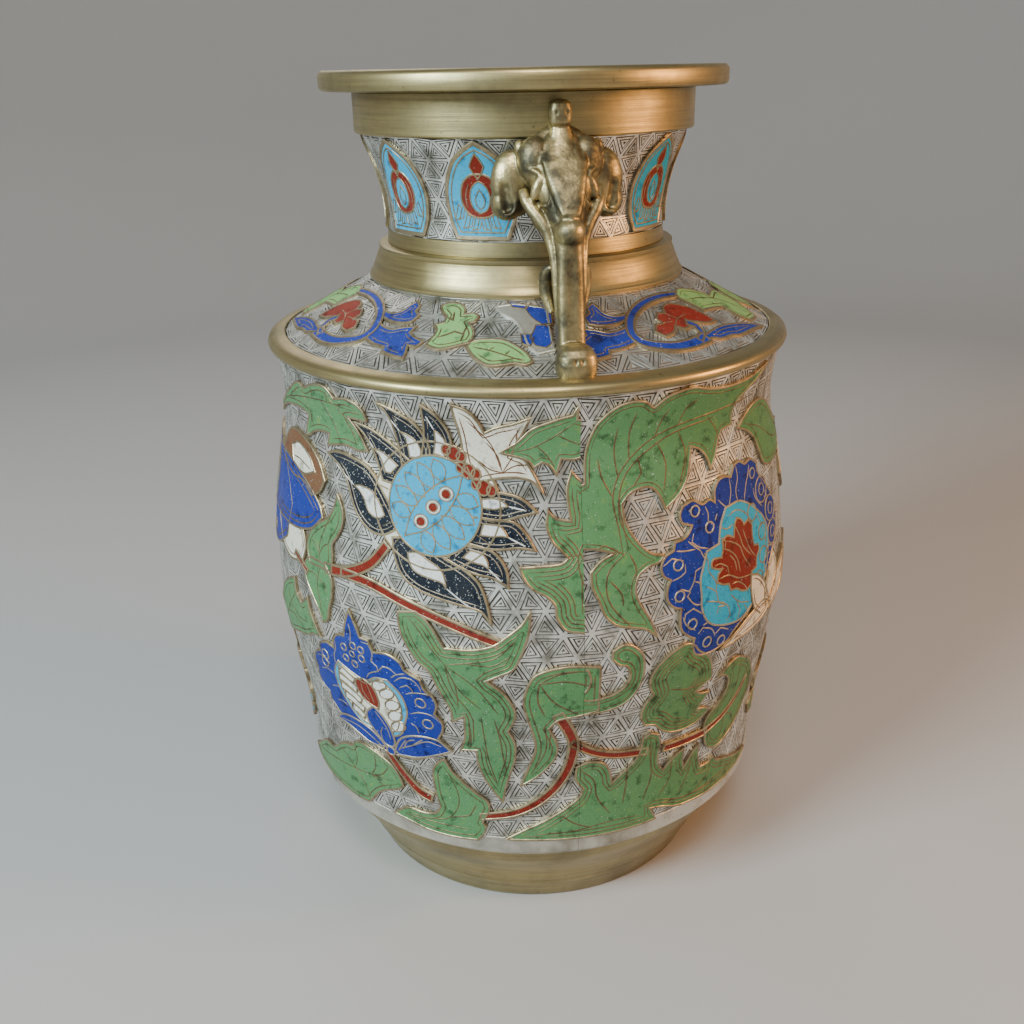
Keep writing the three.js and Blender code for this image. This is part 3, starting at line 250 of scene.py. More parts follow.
class PlateMaker:
    # gathers the faces of one piece: enamel cells, their brass edges and the veins

    def __init__(self, place):
        self.place = place
        self.verts = []
        self.faces = []
        self.colours = []

    def add(self, points, faces, colour):
        start = len(self.verts)
        self.verts.extend(points)
        for face in faces:
            self.faces.append([start + v for v in face])
            self.colours.append(colour)

    def strip(self, line, normals, profile, closed, colour, widths=None):
        # profile points are (share of the width across, height over the wall)
        points = []
        for i, p in enumerate(line):
            w = widths[i] if widths else 1.0
            for across, lift in profile:
                q = p + normals[i] * across * w
                points.append(self.place(q.x, q.y, lift))
        k = len(profile)
        n = len(line)
        faces = []
        for i in range(n if closed else n - 1):
            j = (i + 1) % n
            for m in range(k - 1):
                faces.append([i * k + m, j * k + m, j * k + m + 1, i * k + m + 1])
        self.add(points, faces, colour)

    def wire(self, line, lift, half, flatShare, outerDrop, metal):
        # a closed brass edge, soft on top and sunk into the wall on its outer side
        top = lift + lineStyle["wireRise"]
        crown = flatShare * half
        profile = [
            (half, lineStyle["wireFoot"]), (half, top - outerDrop), (crown, top), (-crown, top),
            (-half, top - lineStyle["innerDrop"]),
        ]
        self.strip(line, sideways(line, True), profile, True, metal)

    def cell(self, outline, colour, level=0, width=None, metal="brassLine"):
        # one enamel cell with its brass edge standing a little proud of it
        line = smoothLine(leftward(outline), True)
        lift = liftOf(level)
        self.fill(line, lift, colour)
        self.wire(line, lift, (width or lineStyle["wireWidth"]) / 2, 0.55, 0.16, metal)

    def fill(self, line, lift, colour):
        # enamel surface inside an outline, with a triangular net of inner points
        spacing = lineStyle["fillSpacing"]
        rowStep = spacing * lineStyle["fillRows"]
        xs = [p.x for p in line]
        ys = [p.y for p in line]
        poly = np.array([(p.x, p.y) for p in line])
        inner = []
        rows = int((max(ys) - min(ys)) / rowStep) + 1
        for r in range(1, rows):
            y = min(ys) + r * spacing * lineStyle["fillRows"]
            x = min(xs) + (0.5 if r % 2 else 0.0) * spacing
            while x < max(xs):
                clear = np.min(np.hypot(poly[:, 0] - x, poly[:, 1] - y)) > lineStyle["fillMargin"] * spacing
                if clear and isInside(poly, x, y):
                    inner.append(Vector((x, y)))
                x += spacing
        found = delaunay_2d_cdt([*line, *inner], [], [list(range(len(line)))], 1, 1e-5)
        points = [self.place(p.x, p.y, lift) for p in found[0]]
        faces = [f if signedArea([found[0][i] for i in f]) > 0 else f[::-1] for f in found[2]]
        self.add(points, faces, colour)

    def vein(self, points, level=0, width=None, colour="darkLine"):
        # a low metal line that tapers to both ends
        line = smoothLine(points, False, lineStyle["veinStep"])
        last = max(1, len(line) - 1)
        taper = lineStyle["veinTaper"]
        shares = [i / last for i in range(len(line))]
        widths = [min(1.0, taper + 5 * along, taper + 5 * (1 - along)) for along in shares]
        lift = liftOf(level)
        foot = lift - lineStyle["levelRise"]
        top = lift + lineStyle["veinRise"]
        half = (width or lineStyle["veinWidth"]) / 2
        profile = [(half, foot), (0.4 * half, top), (-0.4 * half, top), (-half, foot)]
        self.strip(line, sideways(line, False), profile, False, colour, widths)

    def ribbon(self, points, widths, colour, level=0):
        # an enamel stem between two brass edges
        line = smoothLine(points, False, lineStyle["stemStep"])
        left, right = [], []
        for i, (p, normal) in enumerate(zip(line, sideways(line, False))):
            half = (widths[0] + (widths[1] - widths[0]) * i / (len(line) - 1)) / 2
            side = normal.normalized() * half
            left.append(p - side)
            right.append(p + side)
        outline = leftward([*right, *left[::-1]])
        lift = liftOf(level)
        self.fill(outline, lift, colour)
        self.wire(outline, lift, lineStyle["stemWireWidth"] / 2, 0.5, 0.14, "brassLine")

    def finish(self, name):
        order = sorted(set(self.colours))
        return addObject(name, self.verts, self.faces, order, [order.index(c) for c in self.colours])


def isInside(poly, x, y):
    x1, y1 = poly[:, 0], poly[:, 1]
    x2, y2 = np.roll(x1, -1), np.roll(y1, -1)
    crossing = (y1 > y) != (y2 > y)
    with np.errstate(divide="ignore", invalid="ignore"):
        at = (x2 - x1) * (y - y1) / (y2 - y1) + x1
    return bool(np.sum(crossing & (x < at)) % 2)


def oval(a, z, halfA, halfZ, count=16, tilt=0.0, scale=None):
    # an oval drawn at angle a and height z; the tilt is in flat millimetres
    scale = scale or drumScale
    points = []
    c, s = math.cos(math.radians(tilt)), math.sin(math.radians(tilt))
    for i in range(count):
        turn = 2 * math.pi * i / count
        x, y = halfA * scale * math.cos(turn), halfZ * math.sin(turn)
        points.append((a * scale + c * x - s * y, z + s * x + c * y))
    return points


def addObject(name, verts, faces, colours=(), kinds=None):
    # a mesh object with one finish for each colour; kinds says which of them each face has
    mesh = bpy.data.meshes.new(name)
    mesh.from_pydata(verts, [], faces)
    for colour in colours:
        mesh.materials.append(finishes[colour])
    if kinds is not None:
        mesh.polygons.foreach_set("material_index", kinds)
    obj = bpy.data.objects.new(name, mesh)
    bpy.context.scene.collection.objects.link(obj)
    return obj


def turnedCopy(obj, name):
    # the same piece half a turn round the vase
    twin = obj.copy()
    twin.data = obj.data.copy()
    twin.name = name
    twin.data.transform(Matrix.Rotation(math.pi, 4, "Z"))
    bpy.context.scene.collection.objects.link(twin)
    return twin


def bands(rows, around, closed=False):
    # quads between neighbouring rings of points
    faces = []
    for k in range(rows if closed else rows - 1):
        m = (k + 1) % rows
        for i in range(around):
            j = (i + 1) % around
            faces.append((k * around + i, k * around + j, m * around + j, m * around + i))
    return faces


def endCaps(rows, around):
    return [tuple(range(around))[::-1], tuple((rows - 1) * around + i for i in range(around))]


# The decoration's outlines: degrees round the drawing and heights (or radii on the shoulder)
drawing = {
    "topLeaf": [
        (-78, 187), (-72, 191), (-64.5, 197), (-59, 201.3), (-55.5, 203.6), (-53.3, 202.3), (-50, 204.4),
        (-46.5, 205.7), (-44, 205), (-42.2, 202), (-39, 203), (-36, 202), (-34.2, 199.6), (-33.8, 196.8),
        (-38.9, 197), (-36.2, 192), (-34.2, 186.8), (-36.5, 186.3), (-40, 187), (-43, 186.3), (-46, 185),
        (-45.3, 189.2), (-48, 189.2), (-51, 188), (-54.5, 185), (-54.6, 188), (-53, 193), (-56, 194.1),
        (-60, 193.8), (-66, 192), (-72, 189), (-77, 185),
    ],
    "flowerPetals": [
        [
            (-46, 182.5), (-43, 183.8), (-39, 183.5), (-33.5, 180.8), (-28.3, 171), (-26, 164),
            (-29.5, 160.8), (-33, 161.4), (-36.5, 166), (-39.5, 175.5), (-42, 179.5),
        ],
        [
            (-37.3, 195.7), (-33, 194.4), (-28, 190.5), (-23, 185), (-27, 178), (-30, 178.5), (-32, 186),
            (-34.5, 192),
        ],
        [
            (-30.2, 204), (-26.5, 202), (-22, 197.8), (-19.5, 191), (-20, 184), (-25.5, 184), (-26.4, 192),
            (-28, 200.5),
        ],
        [(-20.4, 205), (-17.5, 201.7), (-15.3, 196), (-15, 189), (-16, 184), (-21.5, 186), (-20.4, 196)],
        [
            (1.4, 172), (-1, 175.7), (-3.5, 177.4), (-6.5, 178), (-11, 177), (-11, 170.5), (-5, 169.5),
            (-2, 170.8),
        ],
        [
            (1, 160), (-0.8, 165.4), (-3, 168.8), (-6, 169.4), (-10.5, 170.2), (-12, 161), (-6, 160.2),
            (-2, 160.8),
        ],
        [
            (-4, 148), (-4.3, 153), (-5.6, 157.2), (-7.5, 159.8), (-12.5, 162), (-16, 156), (-10.5, 152.3),
            (-6.5, 150.8),
        ],
        [
            (-7.3, 135.4), (-8.2, 143), (-9.6, 149), (-12.5, 153.2), (-17, 157), (-22, 161.5),
            (-27.3, 160.5), (-26.6, 154.5), (-24.7, 148.5), (-21.5, 145), (-17, 142.8), (-12, 141),
            (-9, 139.5),
        ],
    ],
    "flowerBeads": [(-14.5, 189.4), (-11.6, 184), (-8.6, 179)],
    "creamSprig": [
        (-14.3, 205.8), (-12, 204.6), (-10, 202), (-8.3, 197), (-6, 198.8), (-3, 200), (0.4, 202),
        (-1, 197.5), (-2.6, 193.3), (-3.2, 190), (-1, 188.8), (0.4, 185.5), (2.7, 178), (0.8, 181.6),
        (-2, 183), (-6, 182.7), (-10.5, 181), (-12.3, 188), (-13, 195.8), (-13.8, 201.7),
    ],
    "seamLeaf": [
        (-5.4, 190.8), (-2, 194.2), (0.5, 198.1), (3, 199.9), (6.5, 201.7), (8.4, 202.4), (9.3, 205),
        (9.2, 201), (13, 199.6), (13, 190), (11.5, 189.6), (9, 188.2), (6.2, 188.6), (5.3, 183.5),
        (4, 186.7), (2.5, 187.7), (1, 186), (0, 188.2), (-2, 189.4),
    ],
    "seamLobes": [
        (8.2, 184), (9.6, 181.4), (13, 177), (13, 133), (11, 131.4), (9.2, 132), (6.5, 133.3), (4.9, 137.5),
        (4.6, 141.7), (3, 145), (0.5, 147.5), (-1.2, 151.2), (-1.8, 154.3), (2, 154.6), (6, 155.2),
        (7.3, 157), (5.5, 160.3), (4.3, 162.5), (3.3, 167.5), (3.6, 172), (5, 169.7), (8, 168.5),
        (7.5, 174.2), (7.4, 179.2),
    ],
    "acanthus": [
        (12.7, 197.5), (14.3, 200.8), (16.8, 203.8), (19.9, 205.1), (22.4, 204.6), (24.6, 202), (27.4, 205),
        (30.5, 206.2), (33.6, 206.5), (38, 204.8), (43, 203.8), (50, 203.8), (55.5, 205), (60, 206.5),
        (55.5, 202.8), (51.5, 200.2), (48, 197.5), (46.6, 194.5), (46.6, 190), (43.2, 189.2), (42, 185.8),
        (41, 181.3), (39.6, 177.5), (38.6, 181.8), (36.8, 185), (34.3, 186.8), (33.9, 182.5), (32.9, 176.7),
        (30.8, 172.3), (27.4, 168.6), (26.2, 173.2), (24.6, 176.2), (22.2, 176.8), (19.6, 175.4),
        (18, 172.5), (18.3, 167.5), (19.6, 162.5), (21.4, 158.3), (23.6, 155), (26.4, 153.6), (25.2, 151.8),
        (22.8, 151), (20.6, 148.3), (20, 143.3), (21, 138.3), (22.7, 133.3), (24.4, 126.3), (22, 129.8),
        (19.3, 131.3), (16.2, 133), (14, 136.7), (12.9, 141.7), (11.6, 147), (11.4, 151.7), (13.4, 155),
        (16.2, 157.2), (12, 159.3), (8, 159.6), (8, 178), (10.8, 180), (11.1, 190),
    ],
    "lotusPetalSteps": [
        [(4, -10), (7.5, -12.5), (10.5, -17.5), (13, -25.5), (9, -28.5), (5.6, -23.5), (4.2, -16.5)],
        [(15, -7), (17.5, -13.5), (17, -23.5), (12, -27.5), (10.5, -21.5), (12, -13.5)],
        [(24.5, -12.5), (24, -20.5), (20, -28), (14, -30.5), (13.5, -24.5), (18, -17.5)],
        [(-5.5, -33.2), (-1, -29.7), (4, -26), (10, -24), (15, -28.5), (9, -31.7), (2, -32.7)],
    ],
    "bigFlower": {
        "body": [
            (31.5, 168), (34, 169), (36.5, 166.8), (38.5, 167.6), (40, 166), (40.2, 170), (41.5, 172.8),
            (43.5, 173.3), (45.5, 172.3), (47, 175.8), (49, 176.2), (51, 174.4), (53.5, 175), (56, 172.6),
            (56.5, 169), (60, 163), (63.5, 156), (64.6, 148), (63, 141), (60, 135), (56, 129), (50, 122),
            (44.6, 117.4), (42.6, 114.6), (39.6, 113.4), (36, 113.4), (33.8, 115), (33, 118), (33.2, 121.4),
            (32, 122.6), (30, 126), (29.6, 130), (29.8, 134), (28.4, 134.8), (26.8, 138), (26.8, 142),
            (27.6, 144.8), (26, 146.8), (25.6, 150), (26.6, 153), (28.6, 154.4), (29, 157), (31.2, 157.4),
            (32.6, 159), (33.4, 161), (31, 162.6), (30.6, 165.4),
        ],
        "rimLobes": [(57.4, 162.4), (61, 153.6), (61.6, 144.6), (59, 136)],
        "inner": [
            (40, 152), (36.6, 151), (35.4, 146), (34.6, 142), (34.8, 136), (34.8, 132), (36, 127),
            (38, 124), (42, 121.6), (46.6, 120.8), (51, 124), (55.4, 129), (57.6, 135), (58.6, 142),
            (58, 150), (54, 157), (48, 163), (43, 163), (41, 158),
        ],
        "curls": [(53.6, 131.6), (55.8, 139.4), (55.8, 148), (52, 157)],
        "heart": [
            (37.6, 146.6), (38.2, 147.6), (40.5, 147), (41, 150), (41, 152.6), (42.6, 153.6), (44.6, 152),
            (45.2, 156), (46, 158), (47.6, 156.8), (48.4, 154.6), (50, 155.4), (51.4, 153), (51.2, 149),
            (51.6, 145.4), (53.4, 144.6), (53.8, 142.6), (52.6, 140.4), (52.4, 137), (50.4, 136.4),
            (50.2, 132), (48.6, 130.8), (46.4, 131.8), (45, 133.4), (43, 134), (42.4, 136.6), (40.6, 137.4),
            (39, 139), (39.4, 141.6), (40.6, 143), (38.8, 143.8), (37.6, 145),
        ],
        "lotus": (46, 145.5),
    },
    "lotusLines": {
        "lines": [
            [
                (-35.2, 120.7), (-33.3, 120.6), (-32.5, 117.5), (-33, 114), (-31.7, 112.6), (-31.5, 110.9),
                (-34.1, 108.4), (-35.2, 105.5),
            ],
            [
                (-43, 117), (-43.1, 113.6), (-44.1, 109.9), (-44.3, 106.8), (-41.9, 106.6), (-39.4, 105.8),
                (-38.1, 104.1), (-35.2, 105.3),
            ],
            [(-38.3, 125.9), (-37.9, 123), (-38.1, 118.8)],
            [(-31.5, 110.9), (-30.2, 113.4), (-28.7, 113.3), (-27.1, 111.6)],
            [(-28.6, 109.6), (-27.1, 111.6), (-25, 112.8)],
            [(-28, 108.3), (-26.1, 110.8), (-23.8, 111), (-22.5, 109), (-21.9, 106.2)],
            [(-26.8, 106.4), (-25.1, 108.1), (-24.1, 106.9), (-23.8, 105.2)],
            [(-25.7, 104.2), (-23.9, 105.4), (-21.6, 106), (-19.6, 105.8)],
            [(-25.3, 95.8), (-23.1, 97.3), (-20.4, 97.1), (-18.4, 94.3)],
            [(-25.5, 91.7), (-24.3, 90.4), (-23.9, 87.6)], [(-51.1, 105.1), (-48.4, 105.9), (-46.7, 104.2)],
            [(-50.9, 99.3), (-48.1, 101), (-46, 100.4)], [(-47.9, 93.8), (-45.5, 95.1), (-43.8, 94.2)],
            [(-46.9, 88.3), (-44.9, 88.9), (-43.5, 88.2)],
        ],
        "cells": [
            (-40.3, 115.7), (-37.5, 117.7), (-35.4, 117.2), (-35.5, 113.7), (-37.7, 110.2), (-40.1, 111.4),
        ],
        "middle": (-38, 114.2),
        "rings": [(-22.5, 101.7), (-21.5, 93), (-47.6, 107.7), (-48.4, 103.8)],
        "ovals": [(-31.9, 104.7), (-30.3, 102), (-29.4, 97.5), (-29.1, 93), (-28.8, 88.4)],
        "leafLines": [
            [(-34.5, 92.2), (-32.8, 88.3), (-31.9, 85.2), (-31.6, 80.9)],
            [(-33.2, 85.8), (-34.1, 82.1), (-33.7, 77.2)],
            [(-47.1, 79.9), (-41.2, 80.8), (-37, 78.3), (-34, 75.2)],
            [(-29.8, 77.9), (-26.4, 81.1), (-22.1, 85), (-19, 84)],
            [(-28.4, 78.7), (-27.2, 82.6), (-25.1, 84.5)], [(-26.1, 81.3), (-24.4, 83.9), (-23.1, 85.5)],
            [(-30, 76.9), (-28.4, 81), (-27.4, 83.4)],
        ],
    },
    "flowerLines": {
        "dividers": [
            [(47.5, 175.5), (47.8, 170.9), (46.9, 166.9), (47.5, 161.3)],
            [(52.7, 173.3), (52.1, 170.6), (50.9, 167.3), (49.6, 162.2)],
            [(44.9, 172.1), (45.2, 167.7), (44.2, 162.9), (45.4, 161.4)],
            [(40.8, 166.7), (43, 163.4), (45.3, 161.9), (48.9, 160.6)],
            [(37.1, 165.9), (37.8, 163.2), (37.6, 160.4)], [(40.3, 162.1), (39.6, 160.1)],
            [(33.6, 158.2), (33, 155.5), (34.9, 153), (37.1, 151.8)],
            [(32, 156.3), (33.4, 154.1), (35.2, 151.6)], [(29.1, 154), (31.1, 153.3), (33.7, 152.9)],
            [(26, 150.1), (28, 151.9), (30.7, 150.3)],
            [(27.8, 144.4), (29.6, 145), (31, 146.2), (31, 149.1)],
            [(32.1, 139), (31.3, 137.6), (33, 134.1), (34.9, 133)],
            [(30.5, 129), (30.8, 131.5), (32.7, 132.6), (35.3, 129.3)],
            [(34, 122.5), (35.2, 124.3), (37.7, 122.4), (38.8, 119)],
            [(38.8, 119.9), (40.3, 121.3), (42.9, 119.1)], [(38.8, 127.4), (36.8, 125.7), (35.2, 125.2)],
            [(30.1, 131), (31.1, 127.3), (33.3, 124.4)],
            [(33, 142.2), (34.7, 140.5), (35.6, 137.3), (34.9, 133.2)],
            [(29.6, 141), (31.8, 139.1), (33, 142.2), (33.5, 145.5), (35.3, 146.4)],
            [(35, 151.7), (36, 148.7), (35.3, 146.4)], [(53.6, 164.6), (54.4, 160.6), (57.1, 156.3)],
            [(57.7, 166.1), (58.6, 162), (61, 157)],
        ],
        "rings": [
            (37.9, 158.6), (29.4, 149.3), (29.5, 138.5), (32.5, 127.1), (36.6, 118.1), (40.7, 116.2),
            (53.8, 169.9), (34.4, 165.4),
        ],
        "turqLines": [
            [(43.5, 159.9), (46.5, 160.6), (49.7, 157.7), (52.2, 152.9)],
            [(40.9, 157.2), (42.8, 155.8), (44.9, 156.6)],
            [(53, 159.5), (54.2, 154.4), (56.5, 147.6), (57.7, 140.3)],
            [(56.1, 154.3), (57.3, 149.9), (57.6, 143.2)],
            [(35.9, 139), (38.7, 135.7), (39.4, 131.7), (41.8, 129.2)],
            [(36.7, 144), (38.6, 139.5), (38.7, 135.7)],
            [(35.9, 133.6), (38.8, 132), (41.8, 129.2), (43, 124.9), (41.8, 122.8)],
            [(38.8, 127.4), (39.4, 129.9), (41.4, 129.1)], [(45, 128.4), (46.3, 124.7), (45.4, 121)],
            [(42.9, 132.5), (45.8, 127.9), (49.6, 125.5)], [(35.8, 150.9), (36.7, 147.5), (36.7, 144)],
            [(47.6, 125.8), (49.1, 122), (48.8, 119.2)],
        ],
        "redLines": [
            [(45, 156.6), (46.6, 151.4), (47.6, 147.3), (50.5, 142.4)],
            [(42, 152), (43.6, 151), (46.3, 148), (47.6, 143.7), (50, 138.5)],
            [(41.1, 149.8), (43.4, 147.7), (45.3, 144.1), (46.2, 138.9)],
            [(38.3, 145), (40.1, 145), (42.1, 143), (42.5, 140.1)],
            [(39.4, 139.9), (42.4, 139.7), (45.8, 136.8), (50.5, 135.4)],
            [(43.3, 135.9), (45.4, 135.6), (47.7, 132.9), (49.1, 129.6)],
            [(47.8, 153.4), (48.7, 149.4), (50, 145), (52.1, 141)],
            [(42.9, 146.7), (44.5, 143.6), (45, 140.1)], [(40.7, 153.8), (42, 152), (41.6, 149.5)],
        ],
    },
    "roundLeaf": [
        (31, 120), (28, 118.2), (25.2, 114.6), (23.7, 110), (24, 105.8), (24.8, 103), (23, 99.2),
        (22.5, 94.5), (23.6, 90.4), (26, 89.2), (28, 85.8), (31, 83.2), (34.9, 82.5), (38.6, 83.8),
        (41, 86.7), (39.3, 88.2), (37, 89.2), (38.4, 92.3), (39.7, 95), (37.4, 95.8), (35.5, 98),
        (37.8, 99.8), (39.8, 101), (39.3, 105.5), (38.5, 109.5), (37, 112.8), (34.8, 115.6), (33.2, 118.8),
    ],
    "lowerLeaf": [
        (43, 99.6), (45.5, 102.5), (48.6, 103.3), (51.8, 100.8), (55.3, 96.7), (58, 90.5), (59.3, 83.5),
        (58.6, 76.7), (55.7, 70.2), (51.8, 66.3), (48, 64.6), (44.9, 65.8), (42.7, 69.2), (41.8, 74.2),
        (40.8, 80), (41.8, 83.3), (44.7, 86.9), (46.7, 91.7), (46.3, 96), (44.9, 98.4),
    ],
    "bottomAcanthus": [
        (-6, 45.8), (-2, 49.8), (2, 53.3), (6, 57.3), (8.3, 60.2), (10.3, 63.3), (10.9, 66.5), (9.2, 71),
        (9.3, 76.7), (11.8, 78.2), (14.7, 77), (16.3, 73.3), (17.2, 66.8), (20.4, 71.7), (22.8, 75.8),
        (23.5, 80), (23.6, 84.2), (25.3, 85.7), (27.4, 84), (28.1, 80), (28, 75), (28.4, 70), (29.9, 66.3),
        (32.3, 70), (35.4, 72.5), (35.3, 68.3), (36, 63.3), (38.4, 68.2), (40.2, 70.6), (40.5, 65),
        (41.6, 59.4), (44.6, 59.2), (46.2, 60.8), (48, 57.5), (51.8, 55), (58, 50.8), (66, 47), (58, 45.6),
        (45.5, 45.6), (39.3, 46.5), (34.9, 47.5), (30.5, 50), (27, 51.3), (28.6, 45.8), (22, 45.4),
        (12, 45.4), (3, 45.6),
    ],
    "centreLeaf": [
        (0.5, 116.5), (2.5, 118.5), (5, 119.5), (8, 119.8), (13, 118.6), (13, 101), (8.6, 99.6), (5, 98.4),
        (3.2, 95), (4.3, 90.8), (5, 86.7), (4.5, 81.7), (2.5, 76.7), (0, 72.5), (-2.5, 69.6), (-1, 76.7),
        (0.4, 83.3), (0.7, 88.3), (0, 94.2), (-1, 100.8), (-1.5, 106.7), (-0.8, 112),
    ],
    "curl": [
        (8, 118.6), (10.6, 118), (11.2, 114), (10.6, 110.4), (9, 107.4), (10.5, 105.8), (13.6, 105.8),
        (16.8, 107.5), (18.8, 110.8), (19.1, 114.6), (18.3, 117.5), (16.8, 118.4), (15.4, 120.8),
        (15.5, 123.8), (17.4, 125.4), (19.3, 124.6), (21.3, 120.8), (21.9, 115), (21.1, 108.3),
        (18.6, 102.7), (14.3, 100.4), (8, 100),
    ],
    "longLeaf": [
        (-25.8, 135.8), (-25.5, 130), (-24, 124), (-21.8, 118.8), (-19.6, 115.6), (-18.4, 110.5),
        (-17, 105), (-16, 100.8), (-15.9, 96.3), (-13.4, 99.2), (-13.5, 94.2), (-13.7, 89.2), (-14.8, 84),
        (-11.4, 84.6), (-11.4, 80), (-10.8, 75), (-9.5, 69.6), (-6.6, 62), (-5.9, 68.3), (-4.8, 75),
        (-3.8, 80.8), (-3.5, 86.7), (-4, 90.8), (-4.9, 94), (-3.8, 97.5), (-3.3, 101.7), (-4, 105.8),
        (-5.5, 110), (-8.6, 114.6), (-6, 117), (-3.6, 119.2), (-2.4, 122.7), (-1.4, 127), (-0.4, 133),
        (-0.1, 139.6), (-1.6, 135.4), (-4, 131.7), (-7, 127.8), (-11, 125.8), (-16.5, 125.4), (-18, 130),
        (-20, 134.6), (-22, 137),
    ],
    "bottomLeaf": [
        (-18.9, 78), (-20.5, 75.8), (-21.8, 72.3), (-22, 66.7), (-21.6, 60.8), (-20.8, 56.3), (-22, 52.8),
        (-25, 51.3), (-29.5, 51.2), (-33.5, 46.7), (-29, 45.8), (-24, 44.4), (-18, 44), (-12.5, 44.4),
        (-11, 47.5), (-10.4, 50.4), (-11.3, 52), (-10.5, 55), (-9.6, 58.3), (-10.1, 61.7), (-12.4, 64.6),
        (-15, 68.3), (-17.4, 72.7),
    ],
    "sideBottomLeaf": [
        (-31, 63.3), (-32.2, 66.6), (-34.4, 69), (-38.4, 71.2), (-42, 71.7), (-44.5, 70.4), (-46, 67.5),
        (-49, 66.2), (-52, 63.3), (-55.3, 59.2), (-60, 57.6), (-64.5, 53.4), (-69, 47.6), (-73, 44.6),
        (-66, 44.2), (-54, 44.4), (-42, 45.6), (-39.5, 50), (-37.5, 53.3), (-35, 55.8), (-32.3, 57.8),
        (-30.4, 60),
    ],
    "blueLotus": [
        (-38.1, 130.8), (-36.4, 126), (-35.4, 122), (-33.3, 121.8), (-32.2, 118), (-28.8, 118.8),
        (-26, 116.7), (-25.2, 114), (-22, 111.4), (-21.3, 107.6), (-19.6, 105), (-19.1, 101.7), (-19.8, 98),
        (-18.4, 95), (-18.4, 91.4), (-19.6, 87.4), (-17, 82.6), (-21, 79.6), (-25, 75.6), (-30, 74.2),
        (-34, 74.2), (-40, 75.5), (-45, 77.6), (-49, 78.3), (-47.4, 81.8), (-50, 85.8), (-49.9, 89.6),
        (-52.4, 91.4), (-53.3, 95), (-52.8, 98.2), (-53.3, 102), (-51.6, 106), (-49.7, 107.6), (-49, 111.4),
        (-46.6, 113.4), (-43.8, 112.9), (-43.3, 117), (-41.8, 119.6), (-39.9, 120.2), (-39.2, 125.4),
    ],
    "leafPairUpper": [
        (-42.2, 169.3), (-40.6, 165), (-40.3, 160.8), (-41.5, 155.8), (-43, 152.4), (-42.8, 148.3),
        (-43, 142.5), (-50.5, 142), (-51.6, 146.7), (-51.3, 150.8), (-50, 154.2), (-47.5, 157.5),
        (-44.6, 161), (-43, 165),
    ],
    "leafPairLower": [
        (-52.3, 141.3), (-50, 144), (-45, 144), (-43, 139.5), (-43, 133.3), (-44, 128.3), (-44.8, 123.3),
        (-46.3, 121.7), (-47.5, 125.8), (-49.5, 130), (-52, 135), (-52.6, 138.3),
    ],
    "sideLeaf": [
        (-58, 131.5), (-57.2, 126), (-54.8, 123.3), (-52, 127.5), (-51.3, 123.3), (-50, 119.2),
        (-48.3, 114.6), (-51, 113.8), (-54.5, 110.8), (-59.5, 108.3), (-66, 104), (-73, 100.2), (-82, 93.5),
        (-79, 100.6), (-75, 108.5), (-69, 118), (-63.5, 126.6),
    ],
    "farSideLeaf": [
        (-98.7, 131.5), (-99.4, 126), (-101.4, 123.3), (-103.8, 127.5), (-104.4, 123.3), (-105.5, 119.2),
        (-107, 114.6), (-104.7, 113.8), (-101.7, 110.8), (-97.4, 108.3), (-92, 104), (-86, 100.2),
        (-78.6, 93.5), (-81, 100.6), (-84.2, 108.5), (-89.4, 118), (-94, 126.6),
    ],
    "sprayLeaf": [
        (-88, 68), (-92, 73), (-95, 80), (-99, 86), (-103.6, 88), (-107.4, 86), (-107, 82), (-112, 80),
        (-114, 75.4), (-111.4, 72), (-115, 67.6), (-113.4, 62.4), (-108.6, 60.4), (-104.6, 62.4),
        (-101.4, 58.6), (-97, 60), (-94.6, 65),
    ],
    "sideLotusPetals": [
        [
            (-76, 177), (-86, 177), (-95, 173), (-101, 166), (-103, 157), (-97, 149), (-88, 143),
            (-80, 139), (-70, 138), (-62, 145), (-60, 158), (-66, 170),
        ],
        [
            (-46.6, 159.8), (-47.8, 163.4), (-52, 168), (-58, 172), (-66, 174), (-76, 174), (-76, 151),
            (-66, 150.6), (-57, 151.4), (-50.4, 154.4),
        ],
        [
            (-46.6, 172.6), (-49, 178), (-53.6, 182.4), (-59.6, 184.6), (-65, 183), (-70, 174), (-62, 169),
            (-55, 169), (-51, 165.8), (-48.4, 168),
        ],
        [
            (-53.6, 140.6), (-52.4, 146.6), (-54, 152.4), (-61, 155.4), (-70, 154), (-66, 142.6),
            (-60, 138.4),
        ],
    ],
    "acanthusVeins": [
        [
            (17.8, 155.5), (17.1, 165), (16.2, 174.9), (18.1, 183.1), (23.2, 190.6), (29.2, 194.4),
            (38.8, 196.2), (54.5, 197.4),
        ],
        [
            (18.9, 157.8), (18.1, 165.4), (17.4, 174.3), (19.3, 182.3), (24.3, 188.8), (30.3, 192.8),
            (40.5, 194.7),
        ],
        [(16.2, 174.9), (14.1, 181.7), (13.4, 187.7)], [(17.4, 180.7), (16.7, 189.7), (17.3, 197.2)],
        [(19.8, 185.9), (19.8, 195), (21, 201.5)], [(25.2, 191.8), (26.6, 197.5), (28.2, 201.1)],
        [(30.7, 195), (32.3, 200), (35.2, 202.5)], [(21.6, 187.2), (22.4, 181.5), (20.5, 177.5)],
        [(25.9, 190.7), (27.9, 183.3), (27.2, 174.4)], [(30.8, 193), (32.8, 185.2), (31, 175.2)],
        [(38.6, 195.3), (41.7, 189.4), (42.3, 183.9)],
        [(18.7, 157.5), (14.7, 151), (14.7, 141.6), (19.5, 130.5)],
        [(15, 148.3), (17.1, 143.7), (17.5, 139.4)], [(19, 156.5), (20.2, 151.5), (20, 145.6)],
        [(17.8, 156.5), (14.3, 159.9), (12.7, 159.1)],
    ],
    "sideLotusCell": [
